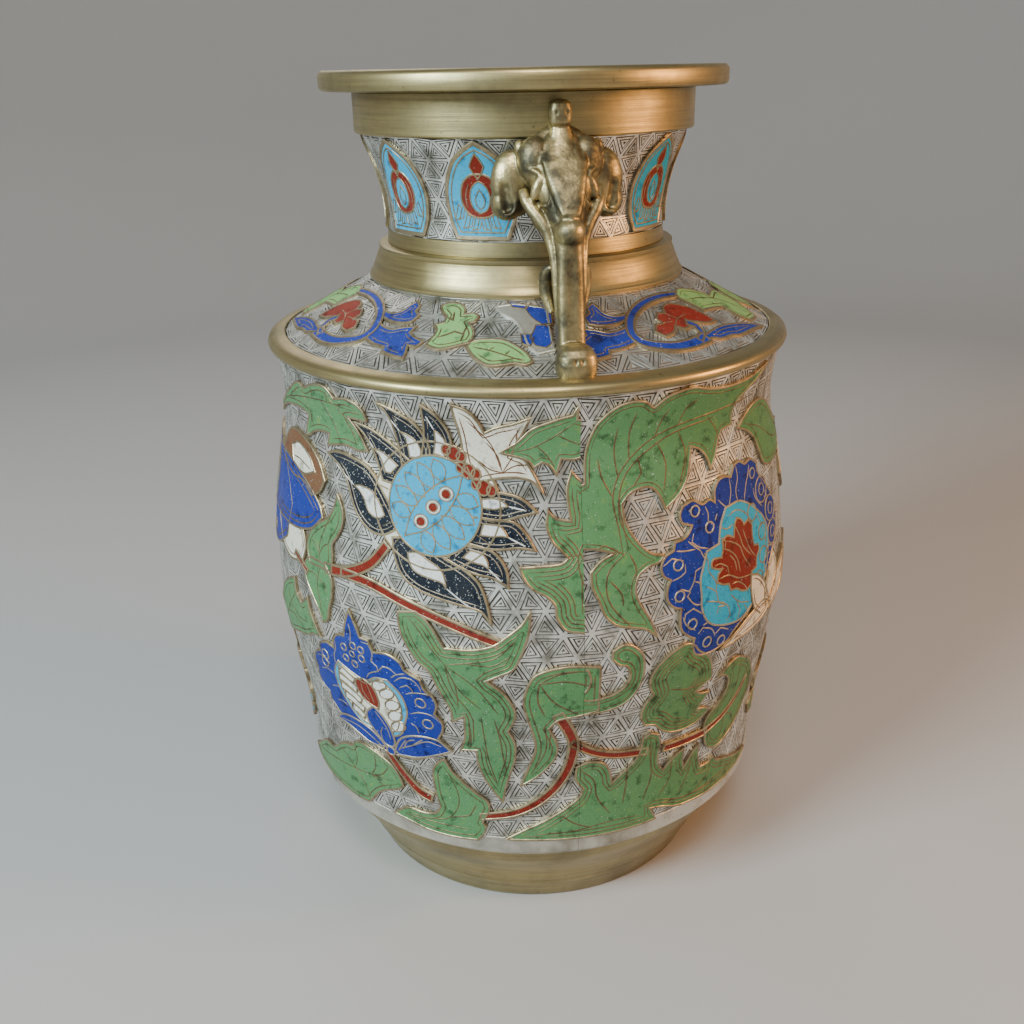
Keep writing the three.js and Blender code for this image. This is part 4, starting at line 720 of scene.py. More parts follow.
        (-50.4, 174.2), (-53.2, 178.6), (-58.4, 181), (-62.6, 178.6), (-61, 173), (-55, 171.6),
    ],
    "palmetteHeartLines": [
        [(-57.4, 68.8), (-59.6, 71.8)], [(-53.8, 72.2), (-57, 72.4)],
        [(-56.8, 74), (-59.6, 71.8), (-64, 71)],
    ],
    "sideLotusLeaf": [
        (-130.5, 187.4), (-128, 190.4), (-124.5, 193.1), (-120, 193.4), (-115.7, 190.8), (-111, 185.4),
        (-106, 180), (-99, 177), (-91, 172), (-99, 165), (-106, 168), (-115, 168), (-119.4, 170.4),
        (-121.6, 176), (-123.8, 181.6), (-127, 185.2),
    ],
    "palmetteLeaf": [
        (-69, 63.6), (-74, 60.9), (-80.5, 63), (-84.6, 66.4), (-85.8, 68.4), (-93.6, 68.2), (-96.6, 71.3),
        (-97.3, 75.8), (-95, 80.7), (-92.3, 84), (-86.6, 83), (-84.4, 79), (-83.7, 74), (-80, 72.8),
        (-73, 71.6),
    ],
    "palmetteRing": [
        (-69.9, 62.5), (-61, 61.7), (-53.4, 63), (-47.4, 66.2), (-44, 70.3), (-42.6, 74.9), (-43.7, 78.3),
        (-46.8, 80.5), (-51.3, 82.1), (-56.4, 82.3), (-62, 81.5),
    ],
    "palmetteFork": [
        (-88.1, 87.1), (-78.4, 81.2), (-69.9, 79.3), (-64.1, 80.1), (-57, 81.9), (-57.7, 82.9),
        (-63.6, 82.2), (-66.4, 83.5), (-70.6, 83.7), (-74.4, 84.9),
    ],
    "palmetteStamen": [(-59.1, 81.9), (-62.2, 79.5), (-62.9, 76.2), (-61.1, 73.9)],
    "palmetteHeart": [
        (-71.4, 76.8), (-71.1, 74.4), (-69.2, 70), (-66.4, 67.3), (-62.6, 65.3), (-59, 66), (-57.4, 68.6),
        (-55, 67.8), (-53, 70), (-53.6, 72.4), (-51, 72.4), (-49.4, 75), (-51, 77.4), (-54.2, 76.6),
        (-56.6, 74.2), (-58.4, 76.2), (-61.4, 75.6), (-62.2, 73.6), (-64.9, 74.8), (-67.7, 76.3),
    ],
    "palmetteUpper": [
        (-51.9, 62.6), (-45.9, 65.8), (-41.6, 66.6), (-38.7, 65), (-37.7, 62.3), (-36.7, 60.1),
        (-34.4, 61.8), (-34.3, 64.1), (-32.1, 65.9), (-32.8, 68.5), (-35.2, 69.5), (-39, 69.7),
        (-42.9, 68.8), (-46.3, 67.2),
    ],
    "palmetteLower": [
        (-43.7, 70.8), (-40.3, 72.3), (-36.6, 72.9), (-33.9, 71.6), (-30.3, 70.4), (-30.8, 73.1),
        (-28.8, 74.6), (-25.6, 76.1), (-26.5, 78.2), (-28.9, 78.1), (-28.2, 80.5), (-27.8, 83.2),
        (-30.8, 82.8), (-34.2, 81.9), (-34.6, 80), (-38.1, 79.5), (-41.9, 78.1), (-41.9, 75.2),
    ],
    "middleLeafTop": [
        (-26.8, 60.8), (-24.7, 59.4), (-21, 59.5), (-18.5, 61.6), (-18.2, 63.8), (-15.5, 63.2),
        (-13.8, 64.1), (-14.3, 66.4), (-16, 67.2), (-14.4, 69.1), (-13.4, 72.3), (-14.1, 75.2),
        (-15.8, 76.1), (-18.1, 77.4), (-21, 78.3), (-24.1, 77.2), (-23.9, 75), (-23.5, 73.4), (-23.7, 70.7),
        (-25.2, 69), (-22.8, 67.6), (-23, 65), (-25.6, 62.8),
    ],
    "middleLeafTail": [
        (-14, 77.1), (-12.9, 74.7), (-9.2, 73.7), (-5.3, 74.2), (-2.1, 76.7), (0, 79.5), (1.1, 82.4),
        (-0.3, 83.5), (-2.5, 82.9), (-5.2, 83.6), (-8, 83.9), (-9.8, 82.7), (-11.8, 80.6),
    ],
    "middleLeafLines": [
        [(-22.5, 74.2), (-20.2, 72.6), (-18.6, 71.2), (-16.1, 72.1), (-15.9, 68.6)],
        [(-22.8, 65.6), (-20.6, 66.6), (-21.4, 63.2)], [(-16.1, 74.8), (-15.8, 71.9)],
        [(-12.7, 77.2), (-8.6, 78.3), (-3.7, 80.8), (-0.6, 82.7)], [(-8.6, 78.3), (-7.5, 76.9)],
        [(-4.9, 80.3), (-3.8, 78.3)],
    ],
    "scrollPatches": [
        [(-5.8, 57.8), (-3.2, 58.3), (0.2, 59.5), (-0.7, 60.9), (-4, 60.4)],
        [(1.1, 59.2), (4.1, 60.4), (7.2, 62.6), (6.9, 67.5), (4.1, 67.7), (1.5, 64.7), (-0.1, 61.2)],
        [(2.5, 67.9), (6.2, 68.4), (6.1, 74.8), (4.4, 77.3), (2.1, 76.4), (0.8, 73.1), (1.8, 70.3)],
        [(-1.4, 71.7), (0.8, 71.7), (1.7, 73.9), (0.7, 76.7), (-1, 75.3)],
    ],
    "smallScroll": [
        (-9, 60), (-4, 59), (2, 60), (6, 61), (6, 78), (2.6, 79.2), (0.4, 76), (-1, 70), (-3, 65.6),
        (-7, 62.6),
    ],
    "lotusHeart": [
        (-43, 108), (-45, 103), (-45, 96), (-43, 90), (-40, 84.6), (-37, 83), (-32, 82.5), (-28.6, 85),
        (-27, 91), (-26, 97), (-27, 103.6), (-29.6, 108), (-32.6, 107.4), (-35.4, 104.6), (-38.4, 105.4),
    ],
    "lotusHeartLobes": [
        [(-43.2, 105), (-39, 102.2)], [(-43.8, 101.4), (-38.6, 98.6)], [(-43.8, 97.6), (-38, 94.3)],
        [(-43, 94), (-37.6, 90.6)], [(-41.4, 90), (-38, 87)],
    ],
    "lotusBud": [
        (-38.4, 103.6), (-36, 105), (-33.8, 103), (-32.8, 97), (-33.4, 93.5), (-36.6, 95.5), (-38.4, 100),
    ],
    "lotusSepals": [
        [
            (-34.6, 94), (-37, 90), (-37, 86), (-35, 81), (-33, 77.6), (-31.4, 77.6), (-30.6, 80),
            (-31, 86), (-32.6, 91),
        ],
        [
            (-33.4, 76.5), (-38, 75.4), (-44, 78.4), (-49, 79), (-46, 82.4), (-42, 83.6), (-37.6, 82.4),
            (-34.6, 79),
        ],
        [
            (-31, 76.5), (-29, 82.6), (-25.5, 86), (-20, 86.6), (-17, 82.6), (-20, 80), (-25, 76.4),
            (-30, 75),
        ],
    ],
    "lotusHeartMiddle": (-35.6, 95.6),
    "bottomAcanthusFingers": [
        [(25.4, 84), (26, 75), (26.8, 66), (25, 56)], [(9.8, 75.6), (13, 70), (14, 62), (17, 54)],
        [(32, 70.6), (32, 62), (29, 55)], [(38.6, 68), (37.6, 60), (35, 53)],
        [(20.6, 75), (20.6, 66), (20, 57)], [(46, 59.6), (45, 54), (40, 50.4)],
        [(6, 56), (9, 52), (13, 49)], [(60, 49), (50, 50), (40, 49.6), (30, 52)],
    ],
    "hangingFlower": (-79, 72),
    "hangingSepal": [(0, 4), (-3.6, 1), (-6, -3), (-2, -2.6), (1.6, -0.6)],
    "sideLotusMiddle": (-83, 158.6),
}

# Surface finishes; every colour below is a linear tint

enamels = {
    "green": {"tint": (0.075, 0.185, 0.075), "far": (0.12, 0.225, 0.065), "deep": (0.035, 0.085, 0.035)},
    "greenPale": {"tint": (0.17, 0.33, 0.11), "far": (0.22, 0.33, 0.09), "deep": (0.06, 0.13, 0.05)},
    "cobalt": {"tint": (0.012, 0.028, 0.21), "far": (0.018, 0.028, 0.15), "deep": (0.005, 0.008, 0.06)},
    "turquoise": {"tint": (0.016, 0.3, 0.5), "far": (0.03, 0.28, 0.42), "deep": (0.01, 0.14, 0.28)},
    "lightBlue": {"tint": (0.03, 0.31, 0.5), "far": (0.05, 0.3, 0.44), "deep": (0.012, 0.15, 0.28)},
    "red": {"tint": (0.16, 0.018, 0.01), "far": (0.19, 0.03, 0.013), "deep": (0.07, 0.008, 0.005)},
    "cream": {"tint": (0.6, 0.57, 0.47), "far": (0.52, 0.47, 0.33), "deep": (0.3, 0.27, 0.2)},
    "black": {
        "tint": (0.012, 0.016, 0.023), "far": (0.02, 0.02, 0.022), "deep": (0.004, 0.005, 0.008),
        "glintSpeckle": 0.63,
    },
    "white": {"tint": (0.6, 0.61, 0.58), "far": (0.52, 0.5, 0.42), "deep": (0.28, 0.29, 0.29)},
    "brown": {"tint": (0.13, 0.06, 0.03), "far": (0.15, 0.08, 0.03), "deep": (0.05, 0.026, 0.014)},
}
enamelCare = {
    "roughness": 0.38,
    "shine": 0.1,
    "wear": 0.048,            # how far the worn patches fade
    "cloudScale": 260.0,
    "patchScale": 38.0,
    "pitScale": 1300.0,
    "pitDepth": 0.12,
    "glintFleckScale": 1500.0,
    "glintSpeckle": 0.68,          # noise value from which pale flecks show, partly painted glints
    # colour of the pale flecks, partly painted glints of light
    "glintFleck": (0.5, 0.5, 0.46),
}

# bright and worn colour, roughness, noise scale and grain depth in millimetres
metals = {
    "brassLine": ((0.36, 0.29, 0.18), (0.17, 0.13, 0.08), 0.36, 260.0, 0.12),
    "darkLine": ((0.2, 0.15, 0.085), (0.07, 0.05, 0.03), 0.5, 260.0, 0.12),
    "paleLine": ((0.42, 0.36, 0.27), (0.24, 0.2, 0.15), 0.4, 260.0, 0.12),
    "bronze": ((0.43, 0.345, 0.16), (0.18, 0.15, 0.08), 0.3, 30.0, 0.16),
    "handleBronze": ((0.46, 0.37, 0.18), (0.075, 0.066, 0.042), 0.34, 110.0, 0.5),
    "innerBronze": ((0.3, 0.245, 0.135), (0.1, 0.082, 0.05), 0.48, 40.0, 0.3),
    "groundRidge": ((0.8, 0.79, 0.74), (0.2, 0.19, 0.155), 0.34, 120.0, 0.3),
    # the grooves' dark colour is painted shade in the cuts
    "groundGrooveShade": ((0.22, 0.21, 0.19), (0.07, 0.064, 0.052), 0.6, 110.0, 0.1),
    "groundPlain": ((0.62, 0.6, 0.53), (0.28, 0.255, 0.2), 0.4, 60.0, 0.2),
}
metalCare = {
    "metallic": 0.92,
    "tarnish": {"handleBronze": 0.37, "groundRidge": 0.33},   # noise value up to which it is worn
    "usualTarnish": 0.3,
    "brushed": ("bronze",),
    "creased": ("handleBronze",),
    "spotScale": 520.0,
    "brushScale": 26.0,
    "brushStretch": (1, 1, 46),
}


def grey(value):
    return (value,) * 3


def scaled(colour, share, lift=0.0):
    return tuple(share * c + lift for c in colour)


class Recipe:
    # one procedural material in the making; noise, ramp and mix each give back a socket

    def __init__(self, name):
        self.mat = bpy.data.materials.new(name)
        self.mat.use_nodes = True
        self.nodes = self.mat.node_tree.nodes
        self.link = self.mat.node_tree.links.new
        self.shader = self.nodes["Principled BSDF"]
        self.coords = self.nodes.new("ShaderNodeTexCoord").outputs["Object"]

    def noise(self, scale, detail, stretch=None):
        tex = self.nodes.new("ShaderNodeTexNoise")
        tex.inputs["Scale"].default_value = scale
        tex.inputs["Detail"].default_value = detail
        tex.inputs["Roughness"].default_value = 0.6
        source = self.coords
        if stretch:
            mapping = self.nodes.new("ShaderNodeMapping")
            mapping.inputs["Scale"].default_value = stretch
            self.link(source, mapping.inputs["Vector"])
            source = mapping.outputs["Vector"]
        self.link(source, tex.inputs["Vector"])
        return tex.outputs["Fac"]

    def ramp(self, source, *stops):
        ramp = self.nodes.new("ShaderNodeValToRGB")
        elements = ramp.color_ramp.elements
        for element, (position, colour) in zip(elements, (stops[0], stops[-1])):
            element.position, element.color = position, (*colour, 1)
        for position, colour in stops[1:-1]:
            elements.new(position).color = (*colour, 1)
        self.link(source, ramp.inputs["Fac"])
        return ramp.outputs["Color"]

    def mix(self, factor, first, second):
        mix = self.nodes.new("ShaderNodeMix")
        mix.data_type = "RGBA"
        for socket, value in zip([s for s in mix.inputs if s.enabled], (factor, first, second)):
            if isinstance(value, tuple):
                socket.default_value = (*value, 1)
            else:
                self.link(value, socket)
        return [s for s in mix.outputs if s.enabled][0]

    def roughness(self, source, high, atLow, atHigh):
        rough = self.nodes.new("ShaderNodeMapRange")
        rough.inputs["From Min"].default_value = 0.3
        rough.inputs["From Max"].default_value = high
        rough.inputs["To Min"].default_value = atLow
        rough.inputs["To Max"].default_value = atHigh
        self.link(source, rough.inputs["Value"])
        self.link(rough.outputs["Result"], self.shader.inputs["Roughness"])

    def bump(self, source, strength, depth):
        bump = self.nodes.new("ShaderNodeBump")
        bump.inputs["Strength"].default_value = strength
        bump.inputs["Distance"].default_value = depth * mm
        self.link(source, bump.inputs["Height"])
        self.link(bump.outputs["Normal"], self.shader.inputs["Normal"])


def enamelMaterial(name, e, care):
    # cloudy glass paste, a little pitted, darker where dirt stays and duller where it is worn, with pale
    # flecks that are partly painted glints
    recipe = Recipe(name + "Enamel")
    clouds = recipe.noise(care["cloudScale"], 6)
    patches = recipe.noise(care["patchScale"], 4)
    specks = recipe.noise(care["pitScale"], 3)
    glintFlecks = recipe.noise(care["glintFleckScale"], 2)
    colour = recipe.ramp(clouds, (0.33, e["deep"]), (0.45, e["tint"]), (0.58, e["tint"]), (0.72, e["far"]))
    worn = recipe.ramp(patches, (0.5, grey(0)), (0.72, grey(care["wear"])))
    faded = tuple(min(0.7, c) for c in scaled(e["tint"], 0.45, 0.24))
    colour = recipe.mix(worn, colour, faded)
    pits = recipe.ramp(specks, (0.27, grey(0.75)), (0.38, grey(0)))
    colour = recipe.mix(pits, colour, scaled(e["deep"], 0.25, 0.01))
    edge = e.get("glintSpeckle", care["glintSpeckle"])
    # pale flecks: partly specks in the paste, partly painted glints of light
    glints = recipe.ramp(glintFlecks, (edge, grey(0)), (edge + 0.05, grey(0.8)))
    colour = recipe.mix(glints, colour, care["glintFleck"])
    recipe.link(colour, recipe.shader.inputs["Base Color"])
    recipe.roughness(patches, 0.7, care["roughness"] - 0.08, care["roughness"] + 0.2)
    recipe.bump(specks, 0.5, care["pitDepth"])
    recipe.shader.inputs["Specular IOR Level"].default_value = care["shine"]
    return recipe.mat


def metalMaterial(name, bright, worn, roughness, scale, grain, care):
    # cloudy tarnish with dark spots on bare metal, and on some pieces painted shade in the hollows
    recipe = Recipe(name)
    recipe.shader.inputs["Metallic"].default_value = care["metallic"]
    clouds = recipe.noise(scale, 8)
    height = recipe.noise(care["spotScale"], 4)
    low = care["tarnish"].get(name, care["usualTarnish"])
    middle = tuple(0.5 * (a + b) for a, b in zip(bright, worn))
    colour = recipe.ramp(clouds, (low, worn), (low + 0.13, middle), (low + 0.25, bright))
    spots = recipe.ramp(height, (0.26, grey(0.7)), (0.36, grey(0)))
    colour = recipe.mix(spots, colour, scaled(worn, 0.6))
    if name in care["brushed"]:
        # fine turning marks that run level round the piece
        height = recipe.noise(care["brushScale"], 5, care["brushStretch"])
        streaks = recipe.ramp(height, (0.35, grey(0.5)), (0.62, grey(0)))
        colour = recipe.mix(streaks, colour, worn)
    if name in care["creased"]:
        # painted shade: darker in the hollows, the bright metal stays on the crests
        shape = recipe.nodes.new("ShaderNodeNewGeometry")
        hollowShade = recipe.ramp(shape.outputs["Pointiness"], (0.42, grey(0.95)), (0.505, grey(0)))
        colour = recipe.mix(hollowShade, colour, scaled(worn, 0.35))
    recipe.link(colour, recipe.shader.inputs["Base Color"])
    recipe.roughness(clouds, 0.65, roughness + 0.2, roughness)
    recipe.bump(height, 0.4, grain)
    return recipe.mat


finishes = {name: enamelMaterial(name, e, enamelCare) for name, e in enamels.items()}
finishes.update({name: metalMaterial(name, *m, metalCare) for name, m in metals.items()})
print("finishes made")

# The studio: one seamless pale sweep and soft lamps

studio = {
    "worldStrength": 0.13,
    "worldColour": (0.84, 0.94, 1.0),
    "lamps": [                # name, watts, size, place seen from the camera's side, colour
        ("keyLamp", 29.0, 0.45, (-0.88, -0.8, 0.78), (0.76, 0.94, 1.0)),
        ("warmLamp", 9.0, 0.34, (0.98, -0.2, 0.45), (1.0, 0.5, 0.18)),
        ("topLamp", 10.0, 0.4, (0.05, -0.75, 1.15), (1.0, 0.95, 0.88)),
        ("backLamp", 2.5, 0.6, (-0.3, 0.9, 0.9), (1.0, 0.97, 0.92)),
    ],
    "sweepColour": (0.37, 0.363, 0.36),
    "sweepRoughness": 0.85,
    "sweepBend": 0.6,
    "sweepBack": 1.6,
    "sweepTop": 2.6,
    "aim": (0, 0, 0.16),      # where the lamps point
}


def buildStudio(s):
    world = bpy.data.worlds.new("studioWorld")
    world.use_nodes = True
    background = world.node_tree.nodes["Background"]
    background.inputs["Color"].default_value = (*s["worldColour"], 1)
    background.inputs["Strength"].default_value = s["worldStrength"]
    bpy.context.scene.world = world
    bend, flat = s["sweepBend"], s["sweepBack"] - s["sweepBend"]
    profile = [(0.0, 0.0), (flat, 0.0)]
    for i in range(1, 17):
        turn = math.radians(90 * i / 16)
        profile.append((flat + bend * math.sin(turn), bend * (1 - math.cos(turn))))
    profile.append((s["sweepBack"], s["sweepTop"]))
    around = 96
    points = [aroundAxis(r, 2 * math.pi * i / around, z, 1) for r, z in profile for i in range(around)]
    sweep = addObject("sweep", points, bands(len(profile), around))
    sweep.data.validate()
    sweep.data.polygons.foreach_set("use_smooth", [True] * len(sweep.data.polygons))
    recipe = Recipe("paleSweep")
    tone = s["sweepColour"]
    colour = recipe.ramp(recipe.noise(6, 2), (0.3, scaled(tone, 0.985)), (0.7, tone))
    recipe.link(colour, recipe.shader.inputs["Base Color"])
    recipe.shader.inputs["Roughness"].default_value = s["sweepRoughness"]
    sweep.data.materials.append(recipe.mat)
    turn = Matrix.Rotation(math.radians(viewpoint["azimuth"]), 4, "Z")
    for name, watts, size, place, colour in s["lamps"]:
        data = bpy.data.lights.new(name, "AREA")
        data.energy = watts
        data.size = size
        data.color = colour
        lamp = bpy.data.objects.new(name, data)
        bpy.context.scene.collection.objects.link(lamp)
        stand = turn @ Vector(place)
        lamp.location = stand
        lamp.rotation_euler = (Vector(s["aim"]) - stand).to_track_quat("-Z", "Y").to_euler()


buildStudio(studio)
print("studio built")


# Decoration of the drum and shoulder, drawn as degrees round and heights (or radii) like the CAD part

class DrumPlate(PlateMaker):
    # the same plate work with points given as degrees and heights

    flat = staticmethod(drumFlat)
    unit = drumScale

    def __init__(self):
        super().__init__(onDrum)

    def leaf(self, outline, colour, level=0, **rest):
        self.cell(self.flat(outline), colour, level, **rest)

    def rib(self, points, level=0, **rest):
        self.vein(self.flat(points), level, **rest)

    def ribs(self, lines, level=0, **rest):
        for line in lines:
            self.rib(line, level, **rest)

    def ovals(self, places, halfA, halfZ, count, colour, level, **rest):
        for a, z in places:
            self.cell(oval(a, z, halfA, halfZ, count), colour, level, **rest)

    def contours(self, outline, distances, level=0):
        for distance in distances:
            self.contour(outline, distance, level)

    def fan(self, root, tips, level=0, bend=0.12, **rest):
        # veins that spread from one root, each bowed a little to its side
        for i, tip in enumerate(tips):
            rx, ry = root[0] * self.unit, root[1]
            tx, ty = tip[0] * self.unit, tip[1]
            sag = bend * (1 if i < len(tips) / 2 else -1)
            mid = ((rx + tx) / 2 + (ty - ry) * sag, (ry + ty) / 2 - (tx - rx) * sag)
            self.vein([(rx, ry), mid, (tx, ty)], level, **rest)

    def contour(self, outline, distance, level=0, **rest):
        # a line that runs inside an outline at one distance from it
        line = smoothLine(leftward(self.flat(outline)), True, lineStyle["contourStep"])
        edge = np.array([(p.x, p.y) for p in line])
        run, runs = [], []
        for p, side in zip(line, sideways(line, True)):
            q = p - side.normalized() * distance
            if np.min(np.hypot(edge[:, 0] - q.x, edge[:, 1] - q.y)) > 0.93 * distance:
                run.append((q.x, q.y))
            elif run:
                runs.append(run)
                run = []
        runs.append(run)
        for run in runs:
            if len(run) > 3:
                self.vein(run, level, **rest)

    def stem(self, points, widths, level=0, colour="red"):
        self.ribbon(self.flat(points), widths, colour, level)

    def ring(self, place, radius, colour, level=1):
        # a small ringed eye with a bead in it
        a, z = place
        self.cell(oval(a, z, radius / self.unit, radius, 10, scale=self.unit), colour, level, width=0.8)
        bead = oval(a, z, 0.42 * radius / self.unit, 0.42 * radius, 8, scale=self.unit)
        self.fill([Vector(p) for p in bead], liftOf(level + 1.6), "brassLine")


class ShoulderPlate(DrumPlate):
    flat = staticmethod(shoulderFlat)

    def __init__(self):
        PlateMaker.__init__(self, onShoulder)

    def fan(self, root, tips, level=0, bend=0.12, **rest):
        for i, tip in enumerate(tips):
            sag = bend * (4 if i < len(tips) / 2 else -4)
            self.rib([root, ((root[0] + tip[0]) / 2 + sag, (root[1] + tip[1]) / 2), tip], level, **rest)

    def ring(self, place, radius, colour, level=1):
        x, y = self.flat([place])[0]
        self.cell(oval(x, y, radius, radius, 10, scale=1), colour, level, width=0.8)


def lens(middle, length, width, lean):
    # a pointed oval in flat mm, leaning so many degrees from level
    c, s = math.cos(math.radians(lean)), math.sin(math.radians(lean))
    shape = [(1, 0), (0.55, 0.72), (0, 1), (-0.55, 0.72), (-1, 0), (-0.55, -0.72), (0, -1), (0.55, -0.72)]
    mx, my = middle
    return [(mx + length * x * c - width * y * s, my + length * x * s + width * y * c) for x, y in shape]


def topLeafPlate():
    plate = DrumPlate()
    plate.leaf(drawing["topLeaf"], "green")
    plate.rib([(-76, 186.6), (-68, 193), (-60, 197), (-52, 199.4), (-44, 200.4), (-37, 199.4)])
    plate.rib([(-54, 198.8), (-52, 194), (-51.6, 190)])
    plate.rib([(-47, 200), (-44, 194.5), (-42, 188)])
    plate.rib([(-42, 200.3), (-38.8, 195), (-37, 188)])
    plate.rib([(-58, 197.8), (-58, 201)])
    plate.rib([(-50, 199.6), (-50, 203.6)])
    plate.rib([(-44.6, 200.3), (-44.4, 204)])
    plate.contour(drawing["topLeaf"], 1.9)
    return plate


darkFlower = {
    "disc": (-18.6, 172.7),
    "creamSize": (13.2, 20.5),            # half width in degrees, half height in millimetres
    "stamens": 18,
    "stamenReach": (10, 15, 12.8, 19.8),
    "headSize": (9.6, 16),
    "headRadius": 14,                     # the seed head's cells, in millimetres round its middle
    "band": (14.4, 4.6),                  # pointed oval across the seed head
    "lean": 47.4,
    "cellSteps": (-9.6, -4.9, 0, 4.9, 9.6),
    "seeds": [(-16, 177), (-18.6, 172.4), (-21.1, 167.4)],
    "beadTrio": [(-1.5, 1.7, 1.5), (1.5, -0.2, 1.5), (0, 0.6, 2.1)],
}


def flowerPetal(plate, petal):
    # a dark petal with a pale contour and a white flame
    flat = drumFlat(petal)
    plate.cell(flat, "black", 1)
    plate.contour(petal, 1.5, 1, width=0.45, colour="paleLine")
    heart = (sum(p[0] for p in flat) / len(flat), sum(p[1] for p in flat) / len(flat))
    base = flat[len(flat) // 2]
    anchor = (0.45 * base[0] + 0.55 * heart[0], 0.45 * base[1] + 0.55 * heart[1])
    flame = [(anchor[0] + 0.4 * (p[0] - anchor[0]), anchor[1] + 0.4 * (p[1] - anchor[1])) for p in flat]
    plate.cell(flame, "white", 2, width=0.6)
    tip = (flat[0][0] + 0.3 * (heart[0] - flat[0][0]), flat[0][1] + 0.3 * (heart[1] - flat[0][1]))
    plate.vein([flame[0], tip], 1, width=0.6, colour="white")


def seedHead(plate, f):
    # turquoise disc with a pointed band across it and rows of cells on both sides
    a, z = f["disc"]
    middle = (a * drumScale, z)
    lean = math.radians(f["lean"])
    plate.cell(oval(a, z, *f["headSize"], 28), "turquoise", 4, width=0.8)
    for step in f["cellSteps"]:
        rim = math.sqrt(f["headRadius"] ** 2 - step ** 2)
        band = 4.2 * math.sqrt(1 - (step / 14.5) ** 2)
        for side in (-1, 1):
            out = side * (rim + band) / 2
            x = middle[0] + step * math.cos(lean) - out * math.sin(lean)
            y = middle[1] + step * math.sin(lean) + out * math.cos(lean)
            turn = 90 + f["lean"] - side * step * 2.2
            plate.cell(lens((x, y), 0.5 * (rim - band) + 0.3, 2.4, turn), "turquoise", 5, width=0.5)
    plate.cell(lens(middle, *f["band"], f["lean"]), "turquoise", 6, width=0.6)
    for seed in f["seeds"]:
        plate.ovals([seed], 1.5, 2.3, 14, "white", 7, width=0.5)
        plate.ovals([seed], 0.9, 1.45, 12, "red", 8, width=0.4)


def darkFlowerPlate():
    plate = DrumPlate()
    f = darkFlower
    a, z = f["disc"]
    plate.cell(oval(a, z, *f["creamSize"], 28), "cream", 0)
    nearA, nearZ, farA, farZ = f["stamenReach"]
    for i in range(f["stamens"]):
        turn = math.radians(360 // f["stamens"] * i + 8)
        c, s = math.cos(turn), math.sin(turn)
        plate.rib([(a + nearA * c, z + nearZ * s), (a + farA * c, z + farZ * s)])
    for petal in drawing["flowerPetals"]:
        flowerPetal(plate, petal)
    seedHead(plate, f)
    plate.leaf(drawing["creamSprig"], "cream", 2)
    plate.contour(drawing["creamSprig"], 1.5, 2, colour="brown")
    sprigTips = [(-11.5, 201), (-8, 194), (-2, 198.6), (0, 187), (-9.5, 188)]
    plate.fan((-5, 184.5), sprigTips, 2, 0.1, colour="brown")
    for a, z in drawing["flowerBeads"]:
        for da, dz, size in f["beadTrio"]:
            plate.cell(oval(a + da, z + dz, size / drumScale, 1.15 * size, 12), "red", 5, width=0.7)
    plate.leaf(drawing["seamLeaf"], "green", 3)
    plate.rib([(-4.4, 190.6), (0.6, 192.4), (5, 196), (8.6, 200)], 3)
    plate.rib([(1.6, 193), (3.6, 189.6), (5, 186)], 3)
    plate.rib([(5.4, 196.4), (9, 193.4), (12.6, 191.8)], 3)
    plate.contour(drawing["seamLeaf"], 1.5, 3, width=0.5)
    return plate


def seamLobesPlate():
    plate = DrumPlate()
    plate.leaf(drawing["seamLobes"], "green")
    plate.contours(drawing["seamLobes"], (1.5, 2.9, 4.3, 5.7))
    plate.rib([(12, 171), (10.4, 163), (9, 156.5), (10, 148), (12.4, 141)])
    plate.rib([(9.6, 158), (6.6, 157.6)])
    return plate


def blueLotusPlate():
    plate = DrumPlate()
    traced = drawing["lotusLines"]
    pale = {"width": 0.65, "metal": "paleLine"}
    paleRib = {"width": 0.65, "colour": "paleLine"}
    plate.stem([(-34, 76), (-31.5, 69.5), (-28, 63), (-25.6, 60), (-23, 58.6)], [2.6, 3.2], 0)
    plate.leaf(drawing["blueLotus"], "cobalt")
    plate.ribs(traced["lines"], **paleRib)
    plate.ovals(traced["cells"], 0.8, 1.35, 10, "cobalt", 1, width=0.6, metal="paleLine")
    plate.ovals([traced["middle"]], 0.7, 1.1, 10, "cobalt", 2, width=0.6, metal="paleLine")
    plate.ovals(traced["rings"], 1.15, 1.9, 12, "cobalt", 1, **pale)
    heart = drawing["lotusHeart"]
    middle = drawing["lotusHeartMiddle"]
    plate.leaf(heart, "lightBlue", 2, metal="paleLine")
    inner = [(middle[0] + 0.87 * (a - middle[0]), middle[1] + 0.88 * (z - middle[1])) for a, z in heart]
    plate.leaf(inner, "cream", 3, width=0.7)
    for first, last in drawing["lotusHeartLobes"]:
        bow = ((first[0] + last[0]) / 2, (first[1] + last[1]) / 2 + 0.5)
        plate.stem([first, bow, last], [2.9, 2.5], 4, "white")
    for a, z in traced["ovals"]:
        plate.cell(oval(a, z, 2, 2.1, 14, 30), "white", 4, width=0.7)
    plate.leaf(drawing["lotusBud"], "red", 5)
    plate.rib([(-36.9, 103), (-36.8, 99.4), (-35.4, 96)], 5, colour="brassLine")
    plate.rib([(-35.2, 103), (-34.7, 99.4), (-34.2, 95.6)], 5, colour="brassLine")
    for sepal in drawing["lotusSepals"]:
        plate.leaf(sepal, "cobalt", 6, metal="paleLine")
    plate.ribs(traced["leafLines"], 6, **paleRib)
    plate.ovals([(-32.2, 75.4)], 1.1, 1.8, 10, "cobalt", 7, width=0.8, metal="paleLine")
    return plate


